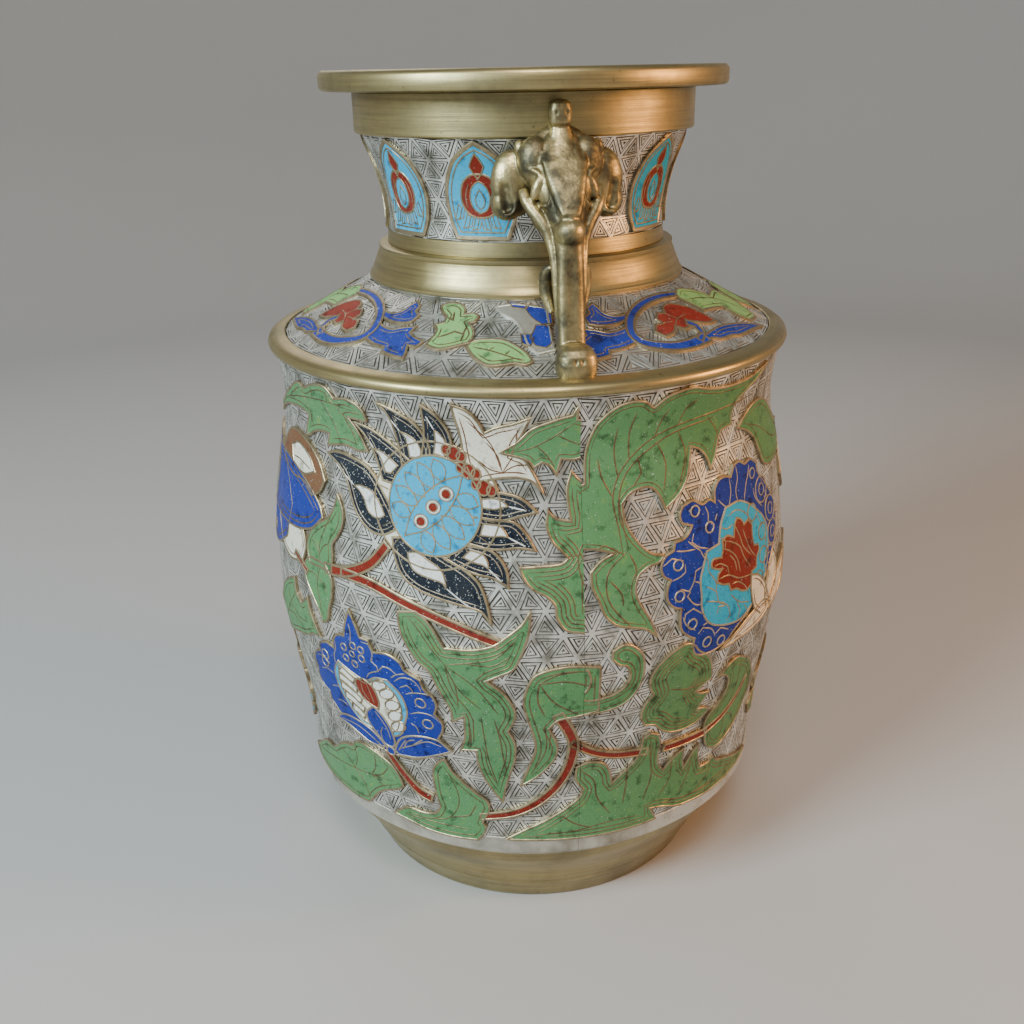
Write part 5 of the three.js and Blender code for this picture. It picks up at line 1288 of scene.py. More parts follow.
def leafBranchPlate():
    plate = DrumPlate()
    plate.stem([(-45, 143), (-40, 144), (-36, 146.4), (-32, 150.6), (-28.6, 157.6)], [3.4, 2.8], 0)
    plate.stem([(-40, 144), (-32, 143), (-25, 139.6), (-17, 135.4), (-6, 128.6)], [3, 2.6], 0)
    plate.leaf(drawing["leafPairUpper"], "green", 1)
    plate.leaf(drawing["leafPairLower"], "green", 1)
    plate.rib([(-46.6, 143.6), (-47, 150), (-45.4, 157), (-43.4, 163)], 1)
    plate.fan((-46.8, 147), [(-50, 150.6), (-44, 152)], 1)
    plate.rib([(-46.6, 143), (-47.6, 136), (-46.8, 129), (-46, 124)], 1)
    plate.fan((-47.2, 138), [(-51.4, 138), (-44.4, 134)], 1)
    plate.contour(drawing["leafPairUpper"], 1.7, 1, width=0.55)
    plate.leaf(drawing["longLeaf"], "green", 1)
    root = (-16.5, 119.5)
    plate.fan(root, [(-10, 103), (-12, 100.6), (-14.4, 102.4), (-6.4, 101)], 1, 0.08)
    plate.rib([root, (-19.4, 125.6), (-21.6, 131), (-23.6, 134.6)], 1)
    plate.rib([root, (-12, 121), (-6.6, 123.6), (-2.4, 131)], 1)
    plate.rib([(-13, 121), (-7.4, 120.6), (-3.6, 124.6)], 1)
    plate.rib([(-10, 100), (-9.6, 90), (-9, 80), (-7.4, 69)], 1)
    plate.rib([(-7.4, 99), (-6.4, 90), (-6, 82), (-5.4, 76)], 1, width=0.7)
    plate.rib([(-12.6, 98), (-12.4, 91), (-12.6, 86)], 1, width=0.7)
    plate.contours(drawing["longLeaf"], (1.5, 3), 1)
    return plate


def bottomLeafVeins(plate):
    plate.leaf(drawing["bottomLeaf"], "green", 1)
    plate.rib([(-24, 49.4), (-19, 52), (-16.6, 58), (-16.6, 64), (-18.4, 72)], 1)
    plate.rib([(-18.6, 52.4), (-14, 54.6), (-12.4, 60)], 1, width=0.7)
    plate.rib([(-30, 48.4), (-22, 48.6), (-14, 48.6)], 1)
    plate.contour(drawing["bottomLeaf"], 1.8, 1)


def centreLeafVeins(plate):
    plate.leaf(drawing["centreLeaf"], "green", 1)
    root = (1.4, 114)
    plate.fan(root, [(2.5, 100.5), (9, 100.6), (12, 111), (9.4, 118)], 1, 0.1, width=0.8)
    plate.rib([(2.5, 97), (2.7, 86), (0.4, 77)], 1)
    plate.rib([(4.4, 99), (3.6, 92), (3.4, 86)], 1)
    plate.contour(drawing["centreLeaf"], 1.7, 1)


def centreBranchPlate():
    plate = DrumPlate()
    rise = [(-11.5, 54.6), (-4, 57.4), (1.5, 62.6), (5.5, 70), (7.8, 79), (8.2, 89), (5, 101)]
    plate.stem(rise, [2.4, 3.4], 0)
    plate.stem([(8, 88), (12.5, 82.8), (17.5, 79.8), (25, 78)], [2.4, 2.8], 0)
    centreLeafVeins(plate)
    bottomLeafVeins(plate)
    return plate


def bottomAcanthusPlate():
    plate = DrumPlate()
    plate.stem([(8, 88), (12.5, 82.8), (17.5, 79.8), (25, 78)], [2.4, 2.8], 0)
    plate.leaf(drawing["bottomAcanthus"], "green", 1)
    plate.ribs(drawing["bottomAcanthusFingers"], 1, width=0.8)
    plate.rib([(0, 48), (8, 48.6), (17, 50.4), (24, 50)], 1)
    plate.contours(drawing["bottomAcanthus"], (1.5, 3), 1)
    return plate


def sideBottomPlate():
    plate = DrumPlate()
    plate.leaf(drawing["sideBottomLeaf"], "green")
    plate.rib([(-71, 45.6), (-62, 51), (-53, 55), (-44, 58), (-33, 61)])
    plate.fan((-46, 57.4), [(-52, 62), (-45, 69), (-41, 47)], width=0.7)
    plate.fan((-40, 59), [(-38, 69.6), (-34, 66.6), (-36, 56)], width=0.7)
    plate.contour(drawing["sideBottomLeaf"], 1.8)
    return plate


def scalloped(a, z, halfA, halfZ, lobes, reach):
    # a ring of round lobes about an oval
    points = []
    for i in range(lobes):
        turn = 2 * math.pi * i / lobes
        ca = a * drumScale + (halfA * drumScale - 0.5 * reach) * math.cos(turn)
        cz = z + (halfZ - 0.5 * reach) * math.sin(turn)
        for bulge in (-88, -50, 0, 50, 88):
            out = 0.72 - 0.22 * math.cos(math.radians(bulge))
            lean = turn + math.radians(bulge)
            points.append((ca + out * reach * math.cos(lean), cz + out * reach * math.sin(lean)))
    return points


def scallopedFlowerPlate():
    plate = DrumPlate()
    flower = drawing["bigFlower"]
    traced = drawing["flowerLines"]
    pale = {"width": 0.65, "metal": "paleLine"}
    plate.leaf(flower["body"], "cobalt", 1)
    plate.ribs(traced["dividers"], 1, width=0.65, colour="paleLine")
    plate.ovals(traced["rings"], 1.1, 1.8, 12, "cobalt", 2, **pale)
    for k, place in enumerate(flower["rimLobes"]):
        level = 2 + 2 * (k % 2)
        plate.ovals([place], 2.8, 4.6, 14, "cobalt", level, **pale)
        plate.ovals([place], 1.3, 2.1, 10, "cobalt", level + 1, width=0.5, metal="paleLine")
    plate.leaf(flower["inner"], "turquoise", 4, width=0.8, metal="paleLine")
    plate.ribs(traced["turqLines"], 4, colour="brassLine")
    plate.ovals(flower["curls"], 1.8, 3, 14, "turquoise", 5, width=0.6)
    plate.leaf(flower["heart"], "red", 6, width=0.8)
    plate.ribs(traced["redLines"], 6, width=0.65, colour="brassLine")
    a, z = flower["lotus"]
    for petal in drawing["lotusPetalSteps"]:
        outline = [(a + stepA, z + stepZ) for stepA, stepZ in petal]
        plate.leaf(outline, "cream", 8)
        plate.contour(outline, 1.5, 8, colour="brown")
    return plate


def acanthusPlate():
    plate = DrumPlate()
    plate.leaf(drawing["acanthus"], "green")
    plate.ribs(drawing["acanthusVeins"], width=0.75)
    plate.contour(drawing["acanthus"], 1.4, width=0.5)
    return plate


def roundLeafPlate():
    plate = DrumPlate()
    plate.leaf(drawing["roundLeaf"], "green")
    plate.contours(drawing["roundLeaf"], (1.5, 2.9, 4.3, 5.7))
    plate.rib([(37.6, 100.4), (32.6, 101), (28.6, 103.4)], width=0.8)
    return plate


def lowerLeafPlate():
    plate = DrumPlate()
    plate.stem([(29.4, 76.6), (35, 76), (42, 75.6)], [2.8, 3], 0)
    plate.leaf(drawing["lowerLeaf"], "green", 1)
    plate.stem([(41.4, 76), (47, 78.4), (52, 83.4), (55.4, 89.6)], [2.8, 1.6], 2)
    plate.fan((48, 79), [(50.6, 100.6), (54.6, 94), (48, 68), (54, 70.6)], 1, 0.1, width=0.7)
    plate.contours(drawing["lowerLeaf"], (1.5, 3), 1)
    return plate


def curlPlate():
    plate = DrumPlate()
    centreLeafVeins(plate)
    plate.leaf(drawing["curl"], "green", 2)
    plate.contour(drawing["curl"], 1.5, 2)
    return plate


def sideLeafVeins(plate, outline, mirror):
    at = (lambda a: -156.6 - a) if mirror else (lambda a: a)
    plate.leaf(outline, "green", 1)
    plate.rib([(at(-80), 96), (at(-72), 105), (at(-64), 115), (at(-57), 127)], 1)
    plate.fan((at(-66), 112), [(at(-69), 116), (at(-56), 113.6)], 1, width=0.7)
    plate.fan((at(-61), 119), [(at(-53), 117), (at(-61.6), 125)], 1, width=0.7)
    plate.contour(outline, 1.8, 1)


def hangingFlowerPlate():
    plate = DrumPlate()
    lobes = 11
    plate.stem([(-79, 86), (-78.6, 91), (-77, 97), (-74, 102)], [2.6, 3], 0)
    sideLeafVeins(plate, drawing["sideLeaf"], False)
    sideLeafVeins(plate, drawing["farSideLeaf"], True)
    plate.leaf(drawing["sprayLeaf"], "green", 1)
    plate.fan((-92, 70), [(-100, 84), (-106, 84), (-112, 76), (-112, 66), (-100, 61)], 1, 0.08)
    plate.contour(drawing["sprayLeaf"], 1.8, 1)
    a, z = drawing["hangingFlower"]
    plate.cell(scalloped(a, z, 11.5, 17, lobes, 5), "turquoise", 2)
    for i in range(lobes):
        turn = 2 * math.pi * i / lobes
        plate.ring((a + 9 * math.cos(turn), z + 12.9 * math.sin(turn)), 1.6, "cobalt", 3)
    plate.ovals([(a, z)], 6.8, 10, 20, "cobalt", 3)
    plate.cell(scalloped(a, z, 4.6, 7, 6, 3), "red", 4)
    for side in (1, -1):
        sepal = [(a + side * (8 + out), z + 12 + up) for out, up in drawing["hangingSepal"]]
        plate.leaf(sepal, "brown", 4)
    return plate


def sideLotusPlate():
    plate = DrumPlate()
    body, wide, upper, lower = drawing["sideLotusPetals"]
    plate.leaf(drawing["sideLotusLeaf"], "green", 0)
    plate.rib([(-129, 188.4), (-121, 184), (-111, 176), (-96, 171.6)], 0)
    plate.contour(drawing["sideLotusLeaf"], 1.9, 0)
    plate.leaf(lower, "cream", 1)
    plate.contour(lower, 1.6, 1, colour="brown")
    plate.leaf(body, "cobalt", 2)
    plate.contour(body, 2.2, 2, width=0.7)
    for place in ((-97, 166), (-99, 157), (-93, 148), (-84, 143.6), (-74, 142.6), (-88, 171)):
        plate.ring(place, 1.9, "cobalt", 3)
    plate.stem([(-57, 142), (-54, 140), (-51.4, 138)], [1.6, 1.8], 4, "red")
    plate.leaf(upper, "brown", 3)
    plate.leaf(drawing["sideLotusCell"], "cream", 4, width=0.8)
    plate.rib([(-52, 174), (-57, 175.6), (-61, 175.4)], 4)
    plate.leaf(wide, "cobalt", 4)
    for depth in (1.9, 3.9):
        plate.contour(wide, depth, 4, width=0.7)
    a, z = drawing["sideLotusMiddle"]
    plate.ovals([(a, z)], 7.4, 10.6, 22, "turquoise", 5)
    lobes = 8
    plate.cell(scalloped(a, z, 5, 7.4, lobes, 3), "red", 6)
    for i in range(lobes):
        c, s = math.cos(2 * math.pi * i / lobes), math.sin(2 * math.pi * i / lobes)
        plate.rib([(a + 0.9 * c, z + 1.5 * s), (a + 3.6 * c, z + 5.6 * s)], 6)
    return plate


def palmettePlate(mirror):
    at = (lambda points: [(-16 - a, r) for a, r in points]) if mirror else (lambda points: points)
    plate = ShoulderPlate()
    plate.leaf(at(drawing["palmetteLeaf"]), "greenPale", 0)
    plate.rib(at([(-72, 66), (-80, 67.6), (-88, 72), (-93, 79)]), 0)
    plate.contour(at(drawing["palmetteLeaf"]), 1.5, 0)
    for name in ("palmetteUpper", "palmetteLower", "palmetteFork"):
        plate.leaf(at(drawing[name]), "cobalt", 0)
        plate.contour(at(drawing[name]), 1.4, 0, width=0.5, colour="brassLine")
    plate.stem(at(drawing["palmetteStamen"]), [1.7, 2.2], 3, "cobalt")
    plate.leaf(at(drawing["palmetteHeart"]), "red", 0)
    plate.ribs([at(line) for line in drawing["palmetteHeartLines"]], width=0.5, colour="brassLine")
    plate.stem(at(drawing["palmetteRing"]), [1.8, 3.6], 4, "cobalt")
    return plate


def shoulderLeafPlate():
    plate = ShoulderPlate()
    plate.leaf(drawing["middleLeafTop"], "greenPale")
    plate.leaf(drawing["middleLeafTail"], "greenPale", 3)
    plate.contour(drawing["middleLeafTop"], 1.4, 0)
    plate.contour(drawing["middleLeafTail"], 1.4, 3)
    plate.ribs(drawing["middleLeafLines"], 3, width=0.7)
    return plate


def shoulderScrollPlate():
    # most of this enamel is worn away to the bronze
    plate = ShoulderPlate()
    plate.leaf(drawing["smallScroll"], "groundPlain", 0, metal="groundPlain")
    for patch in drawing["scrollPatches"]:
        plate.leaf(patch, "cobalt", 1, width=0.5, metal="darkLine")
    return plate


# The neck's arched medallion: right halves of its outlines, colour, level and edge width
medallion = {
    "cells": [
        ([(0, 249), (8.9, 249), (11.2, 255.4), (11.5, 263.8), (8, 272), (3.7, 276.1), (0, 278.5)],
         "turquoise", 0, 1.5),
        ([(0, 250.8), (7.6, 250.8), (9.6, 255.8), (9.8, 263.6), (6.8, 270.9), (2.9, 274.9), (0, 276.4)],
         "turquoise", 1, 0.6),
        ([(0, 255.4), (3.6, 256.2), (6, 259.2), (6.4, 262.8), (5.2, 266.4), (2.6, 268.6), (0, 269)],
         "red", 2, 0.8),
        ([(0, 256.8), (2.2, 258), (3.3, 261), (2.8, 264.2), (1.2, 266.2), (0, 266.8)], "turquoise", 3, 0.6),
        ([(0, 258), (1.3, 259.4), (1.5, 261.6), (0, 264.2)], "lightBlue", 4, 0.5),
        ([(0, 267.6), (1.3, 269.4), (2.2, 271.4), (1.5, 273), (0, 275.4)], "red", 3, 0.6),
    ],
    "petals": [(8.4, 254.6, 258.6, 1.15), (5.4, 252, 255.8, 1.1), (2.2, 251.4, 255, 1)],
    "budLine": [(4.6, 258.6), (4.9, 262), (3.4, 266.2)],
    "firstAngle": 20,
    "spacing": 36,
    "places": (1, 2, 3, 4, 6, 7, 8, 9),   # 0 and 5 would lie behind the handles
}


def medallionPlate(m, angle):
    plate = PlateMaker(onNeck)
    middle = angle * neckScale

    def at(points, side=1):
        return [(middle + side * x, z) for x, z in points]

    for half, colour, level, width in m["cells"]:
        mirrored = [*half, *[(-x, z) for x, z in half[::-1] if x]]
        plate.cell(at(mirrored), colour, level, width=width)
    for reach, low, high, half in m["petals"]:
        # petals spread out under the bud
        edge = [(reach, low), (reach - 1.6 * half, low + 0.6), (reach - 2.4 * half, high)]
        petal = [(x + 1.1, z) for x, z in [*edge, (edge[2][0] + half, high + 0.8)]]
        for side in (-1, 1):
            plate.vein(at(edge, side), 1, width=0.55, colour="brassLine")
            plate.cell(at(petal, side), "lightBlue", 2, width=0.45)
    for side in (-1, 1):
        plate.vein(at(m["budLine"], side), 2, width=0.5, colour="brassLine")
    return plate


def cutAtSeam(obj, side):
    # keep one side of the seam, with half the seam's gap between
    mesh = bmesh.new()
    mesh.from_mesh(obj.data)
    everything = [*mesh.verts, *mesh.edges, *mesh.faces]
    bmesh.ops.bisect_plane(
        mesh, geom=everything, plane_co=(0, side * form["seamHalfGap"] * mm, 0), plane_no=(0, side, 0),
        clear_inner=True, dist=1e-7,
    )
    mesh.to_mesh(obj.data)
    mesh.free()


def claim(obj, node):
    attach(obj, "root")
    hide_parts(node)


# name, drawing, the side of the seam that is kept, slot
inlays = [
    ("top_leaf", topLeafPlate, -1, "green_enamel"),
    ("dark_flower", darkFlowerPlate, -1, "black_enamel"),
    ("seam_lobes", seamLobesPlate, -1, "green_enamel"),
    ("blue_lotus", blueLotusPlate, -1, "cobalt_enamel"),
    ("leaf_branch", leafBranchPlate, -1, "green_enamel"),
    ("centre_branch", centreBranchPlate, -1, "green_enamel"),
    ("bottom_leaf_tip", bottomAcanthusPlate, -1, "green_enamel"),
    ("side_bottom_leaf", sideBottomPlate, -1, "green_enamel"),
    ("hanging_flower", hangingFlowerPlate, -1, "turquoise_enamel"),
    ("side_lotus", sideLotusPlate, -1, "cobalt_enamel"),
    ("acanthus", acanthusPlate, 1, "green_enamel"),
    ("scalloped_flower", scallopedFlowerPlate, 1, "cobalt_enamel"),
    ("round_leaf", roundLeafPlate, 1, "green_enamel"),
    ("lower_leaf", lowerLeafPlate, 1, "green_enamel"),
    ("bottom_acanthus", bottomAcanthusPlate, 1, "green_enamel"),
    ("curl", curlPlate, 1, "green_enamel"),
    ("front_palmette", lambda: palmettePlate(False), -1, "cobalt_enamel"),
    ("back_palmette", lambda: palmettePlate(True), 1, "cobalt_enamel"),
    ("shoulder_leaf", shoulderLeafPlate, -1, "green_enamel"),
    ("shoulder_scroll", shoulderScrollPlate, -1, "cobalt_enamel"),
]


def buildInlays():
    for name, draw, side, slot in inlays:
        plate = draw()
        right = plate.finish(name + "PlateRight")
        cutAtSeam(right, side)
        left = turnedCopy(right, name + "PlateLeft")
        claim(right, name + "_right")
        claim(left, name + "_left")
        print("inlay", name, len(plate.faces))
    for i in medallion["places"]:
        plate = medallionPlate(medallion, medallion["firstAngle"] + medallion["spacing"] * i)
        claim(plate.finish("medallionPlate%d" % i), "neck_medallion_%d" % i)


buildInlays()
print("inlays built")

# Engraved ground: rows of triangles, each filled with smaller ones, cut as real grooves

engraving = {
    "drum": (62, 19),         # columns and rows of triangles
    "shoulder": (44, 4),
    "neck": (42, 5),
    "rings": 3,               # nested triangles in each lattice triangle
    "grooveShare": 0.42,      # part of each step that is groove
    "depth": 0.42,
    "unevenness": 1.4,        # how far the hand-cut lines stray
    "strayScale": 0.16,
    "waveScale": 0.08,
    "seed": 4,
}
noise.seed_set(engraving["seed"])


def grooveSteps(e):
    # bands of a triangle from its edge to its middle: outer and inner share, their heights, kind
    rings, steps = e["rings"], []
    for ring in range(rings):
        outer = 1 - ring / rings
        middle = outer - (1 - e["grooveShare"]) / rings
        steps.append((outer, middle, 0.0, 0.0, 0))
        if ring < rings - 1:
            inner = 1 - (ring + 1) / rings
            half = 0.5 * (middle + inner)
            steps.append((middle, half, 0.0, -e["depth"], 1))
            steps.append((half, inner, -e["depth"], 0.0, 1))
        else:
            steps.append((middle, 0.0, 0.0, -e["depth"], 1))
    return steps


def latticeTriangles(width, bottom, top, columns, rows):
    rowHeight = (top - bottom) / rows
    columnWidth = width / columns
    for row in range(rows):
        y0 = bottom + row * rowHeight
        y1 = y0 + rowHeight
        shift = 0.5 * columnWidth if row % 2 else 0.0
        for column in range(columns):
            x0 = column * columnWidth + shift
            x1 = x0 + columnWidth
            xm = x0 + 0.5 * columnWidth
            yield (x0, y0), (x1, y0), (xm, y1)
            yield (x1, y0), (x1 + 0.5 * columnWidth, y1), (xm, y1)


def engravedGround(name, place, width, bottom, top, lattice, e, wave):
    # strips parallel to the three sides of each lattice triangle, ridges and grooves by turns; the grooves'
    # dark finish is painted shade
    verts, faces, kinds, index = [], [], [], {}
    wallRadius = width / (2 * math.pi)
    steps = grooveSteps(e)

    def spot(x, y):
        # the place on a round wall, so that the unevenness meets itself after one turn
        return Vector(aroundAxis(wallRadius, x / wallRadius, y, 1))

    def vertex(x, y, lift):
        key = (round(x % width * 500), round(y * 500), round(lift * 1000))
        if key not in index:
            index[key] = len(verts)
            stray = e["unevenness"] * noise.noise_vector(spot(x, y) * e["strayScale"])
            verts.append(place(x + stray.x, min(top, max(bottom, y + 0.6 * stray.y)), lift))
        return index[key]

    for corners in latticeTriangles(width, bottom, top, *lattice):
        cx = sum(c[0] for c in corners) / 3
        cy = sum(c[1] for c in corners) / 3
        waves = [wave * noise.noise(spot(*c) * e["waveScale"]) for c in corners]
        for outer, inner, liftOut, liftIn, kind in steps:
            for side in range(3):
                quad = []
                walk = ((0, outer, liftOut), (1, outer, liftOut), (1, inner, liftIn), (0, inner, liftIn))
                for step, share, lift in walk:
                    k = (side + step) % 3
                    px, py = corners[k]
                    point = vertex(cx + (px - cx) * share, cy + (py - cy) * share, lift + waves[k])
                    if point not in quad:
                        quad.append(point)
                if len(quad) > 2:
                    faces.append(quad)
                    kinds.append(kind)
    return addObject(name, verts, faces, ("groundRidge", "groundGrooveShade"), kinds)


# Turned pieces: profiles of (radius, height) in millimetres from the outer foot of each piece upwards

def turned(name, profile, colours, segments=180, closed=True):
    # colours gives the finish of the stretch that starts at each profile point
    order = sorted(set(colours))
    count = len(profile)
    verts = [aroundAxis(r, 2 * math.pi * i / segments, z) for r, z in profile for i in range(segments)]
    faces = bands(count, segments, closed)
    kinds = [order.index(colours[i // segments]) for i in range(len(faces))]
    obj = addObject(name, verts, faces, order, kinds)
    obj.data.polygons.foreach_set("use_smooth", [True] * len(faces))
    obj.data.set_sharp_from_angle(angle=math.radians(38))
    return obj


def soft(stations, steps):
    # a smooth run of (radius, height) points through the stations, from the bottom up
    heights, radii = smoothTable([(z, r) for r, z in stations], steps)
    return [(float(r), float(z)) for r, z in zip(radii, heights)]


def inwards(points, thickness):
    return [(r - thickness, z) for r, z in points[::-1]]


turning = {
    "wall": 3.2,
    "foot": [(68.4, 0.6), (70.4, 5), (73.4, 11), (77.2, 19.7), (84.5, 30), (87, 36)],
    "footGroove": (11.6, 0.35, 0.5),      # height, depth and half width
    "drumTop": 207.9,
    "drumLid": [(93.15, 207.9), (93.2, 208.2), (92.8, 208.4)],
    "drumFloor": [(88, 39.35), (80.6, 39.35), (80.6, 36.15), (88, 36.15)],
    "lipFoot": 39.4,
    "shoulder": [
        (56.5, 230.3), (56.4, 230.45), (50, 230.45), (50, 227.25),
        (55.4, 227.25), (85.5, 210.3), (88.75, 210.3), (88.75, 212.9),
    ],
    "neckTop": 279.85,
    "neckLid": [(57, 279.85), (54.12, 279.85), (54.12, 283), (50.92, 283)],
    "neckFloor": [(43.35, 242.75), (43.35, 239.6), (46.55, 239.6), (46.55, 242.75)],
    "disc": [(0.01, 39.5), (87.7, 39.5), (87.7, 42), (0.01, 42)],
    "ridge": [
        (84.4, 205.55), (89.4, 205.55), (89.4, 208.55), (94.4, 208.55), (95.1, 209.1), (95.4, 210.1),
        (94.9, 211.4), (93.6, 212.4), (91.6, 213.1), (89.3, 213.3), (88.9, 213.0), (88.9, 210.15),
        (84.4, 210.15),
    ],
    "collar": [
        (46.7, 227.6), (49.85, 227.6), (49.85, 230.6), (56.5, 230.6), (57, 231), (57, 231.9), (56.5, 232.4),
        (55.6, 234.4), (54.5, 237), (53.6, 239.4), (52.9, 240.6), (53.2, 241.4), (53.2, 242.2),
        (52.6, 242.6), (46.7, 242.6),
    ],
    "band": [
        (54.27, 280), (59, 280), (59.4, 280.5), (59.35, 286), (59.4, 292.9), (59, 293.35), (54.27, 293.35),
    ],
    "rim": [
        (50.92, 290.5), (54.12, 290.5), (54.12, 293.5), (69.2, 293.5), (70.1, 294), (70.4, 295),
        (70.4, 298.4), (69.8, 299.5), (68.8, 300), (55.4, 300), (52.4, 299.2), (50.92, 297),
    ],
}


def footPiece(t):
    outer = soft(t["foot"], 40)
    groove, depth, half = t["footGroove"]
    outer = [(r - depth * math.exp(-((z - groove) / half) ** 2), z) for r, z in outer]
    inner = inwards(outer, t["wall"])
    profile = [(outer[0][0] - 0.6, 0), *outer, *inner, (inner[-1][0] + 0.4, 0)]
    shown = 1 + len(outer)
    return turned("footTurned", profile, ["bronze"] * shown + ["innerBronze"] * (len(profile) - shown))


def onCone(x, y, lift):
    (footZ, footR), (topZ, topR) = form["shoulder"]
    length = math.hypot(topR - footR, topZ - footZ)
    share = y / length
    radius = footR + share * (topR - footR) + lift * (topZ - footZ) / length
    height = footZ + share * (topZ - footZ) + lift * (footR - topR) / length
    return aroundAxis(radius, x / footR, height)


def joinPieces(name, pieces):
    first = pieces[0]
    chosen = {"active_object": first, "selected_objects": pieces, "selected_editable_objects": pieces}
    with bpy.context.temp_override(**chosen):
        bpy.ops.object.join()
    first.name = name
    return first


def drumPieces(t, e):
    lip, top = form["lipTop"], t["drumTop"]
    inner = inwards([(float(r), float(z)) for z, r in zip(*drumTable)], t["wall"])
    lipCurve = [(float(np.interp(z, *drumTable)), z) for z in np.linspace(t["lipFoot"], lip, 5)]
    lipCurve += [(lipCurve[-1][0] - 0.35, lip + 0.35)]
    profile = [*t["drumLid"], *inner, *t["drumFloor"], *lipCurve]
    colours = ["groundPlain"] * 3 + ["innerBronze"] * (len(inner) + 3) + ["groundPlain"] * (len(lipCurve) + 1)
    shell = turned("drumShell", profile, colours, closed=False)
    ground = engravedGround("drumGround", onDrum, 360 * drumScale, lip, top, e["drum"], e, 0.05)
    whole = joinPieces("drumFrontShell", [shell, ground])
    other = whole.copy()
    other.data = whole.data.copy()
    other.name = "drumBackShell"
    bpy.context.scene.collection.objects.link(other)
    cutAtSeam(whole, -1)
    cutAtSeam(other, 1)
    return whole, other


def shoulderPiece(t, e):
    (footZ, footR), (topZ, topR) = form["shoulder"]
    slant = math.hypot(topR - footR, topZ - footZ)
    colours = ["groundPlain"] * 2 + ["innerBronze"] * 4 + ["groundPlain"] * 2
    shell = turned("shoulderShell", t["shoulder"], colours, closed=False)
    girth = 2 * math.pi * footR
    ground = engravedGround("shoulderGround", onCone, girth, 0, slant, e["shoulder"], e, 0.04)
    return joinPieces("shoulderShell", [shell, ground])


def neckPiece(t, e):
    plain, top = form["neckPlainTop"], t["neckTop"]
    outer = [(float(r), float(z)) for z, r in zip(*neckTable)]
    low = [(r, z) for r, z in outer if z < plain]
    inner = inwards(outer, t["wall"])[2:]
    profile = [*t["neckLid"], *inner, *t["neckFloor"], *low, (low[-1][0] + 0.15, plain)]
    inside = len(inner) + 5
    colours = ["groundPlain"] * 3 + ["innerBronze"] * inside + ["bronze"] * (len(profile) - inside - 3)
    shell = turned("neckShell", profile, colours, closed=False)
    ground = engravedGround("neckGround", onNeck, 360 * neckScale, plain, top, e["neck"], e, 0.02)
    return joinPieces("neckShell", [shell, ground])


def basePiece(t):
    return turned("basePlateDisc", t["disc"], ["innerBronze"] * 4)


# The elephant head handle, modelled on the +X side in millimetres and joined into one skin

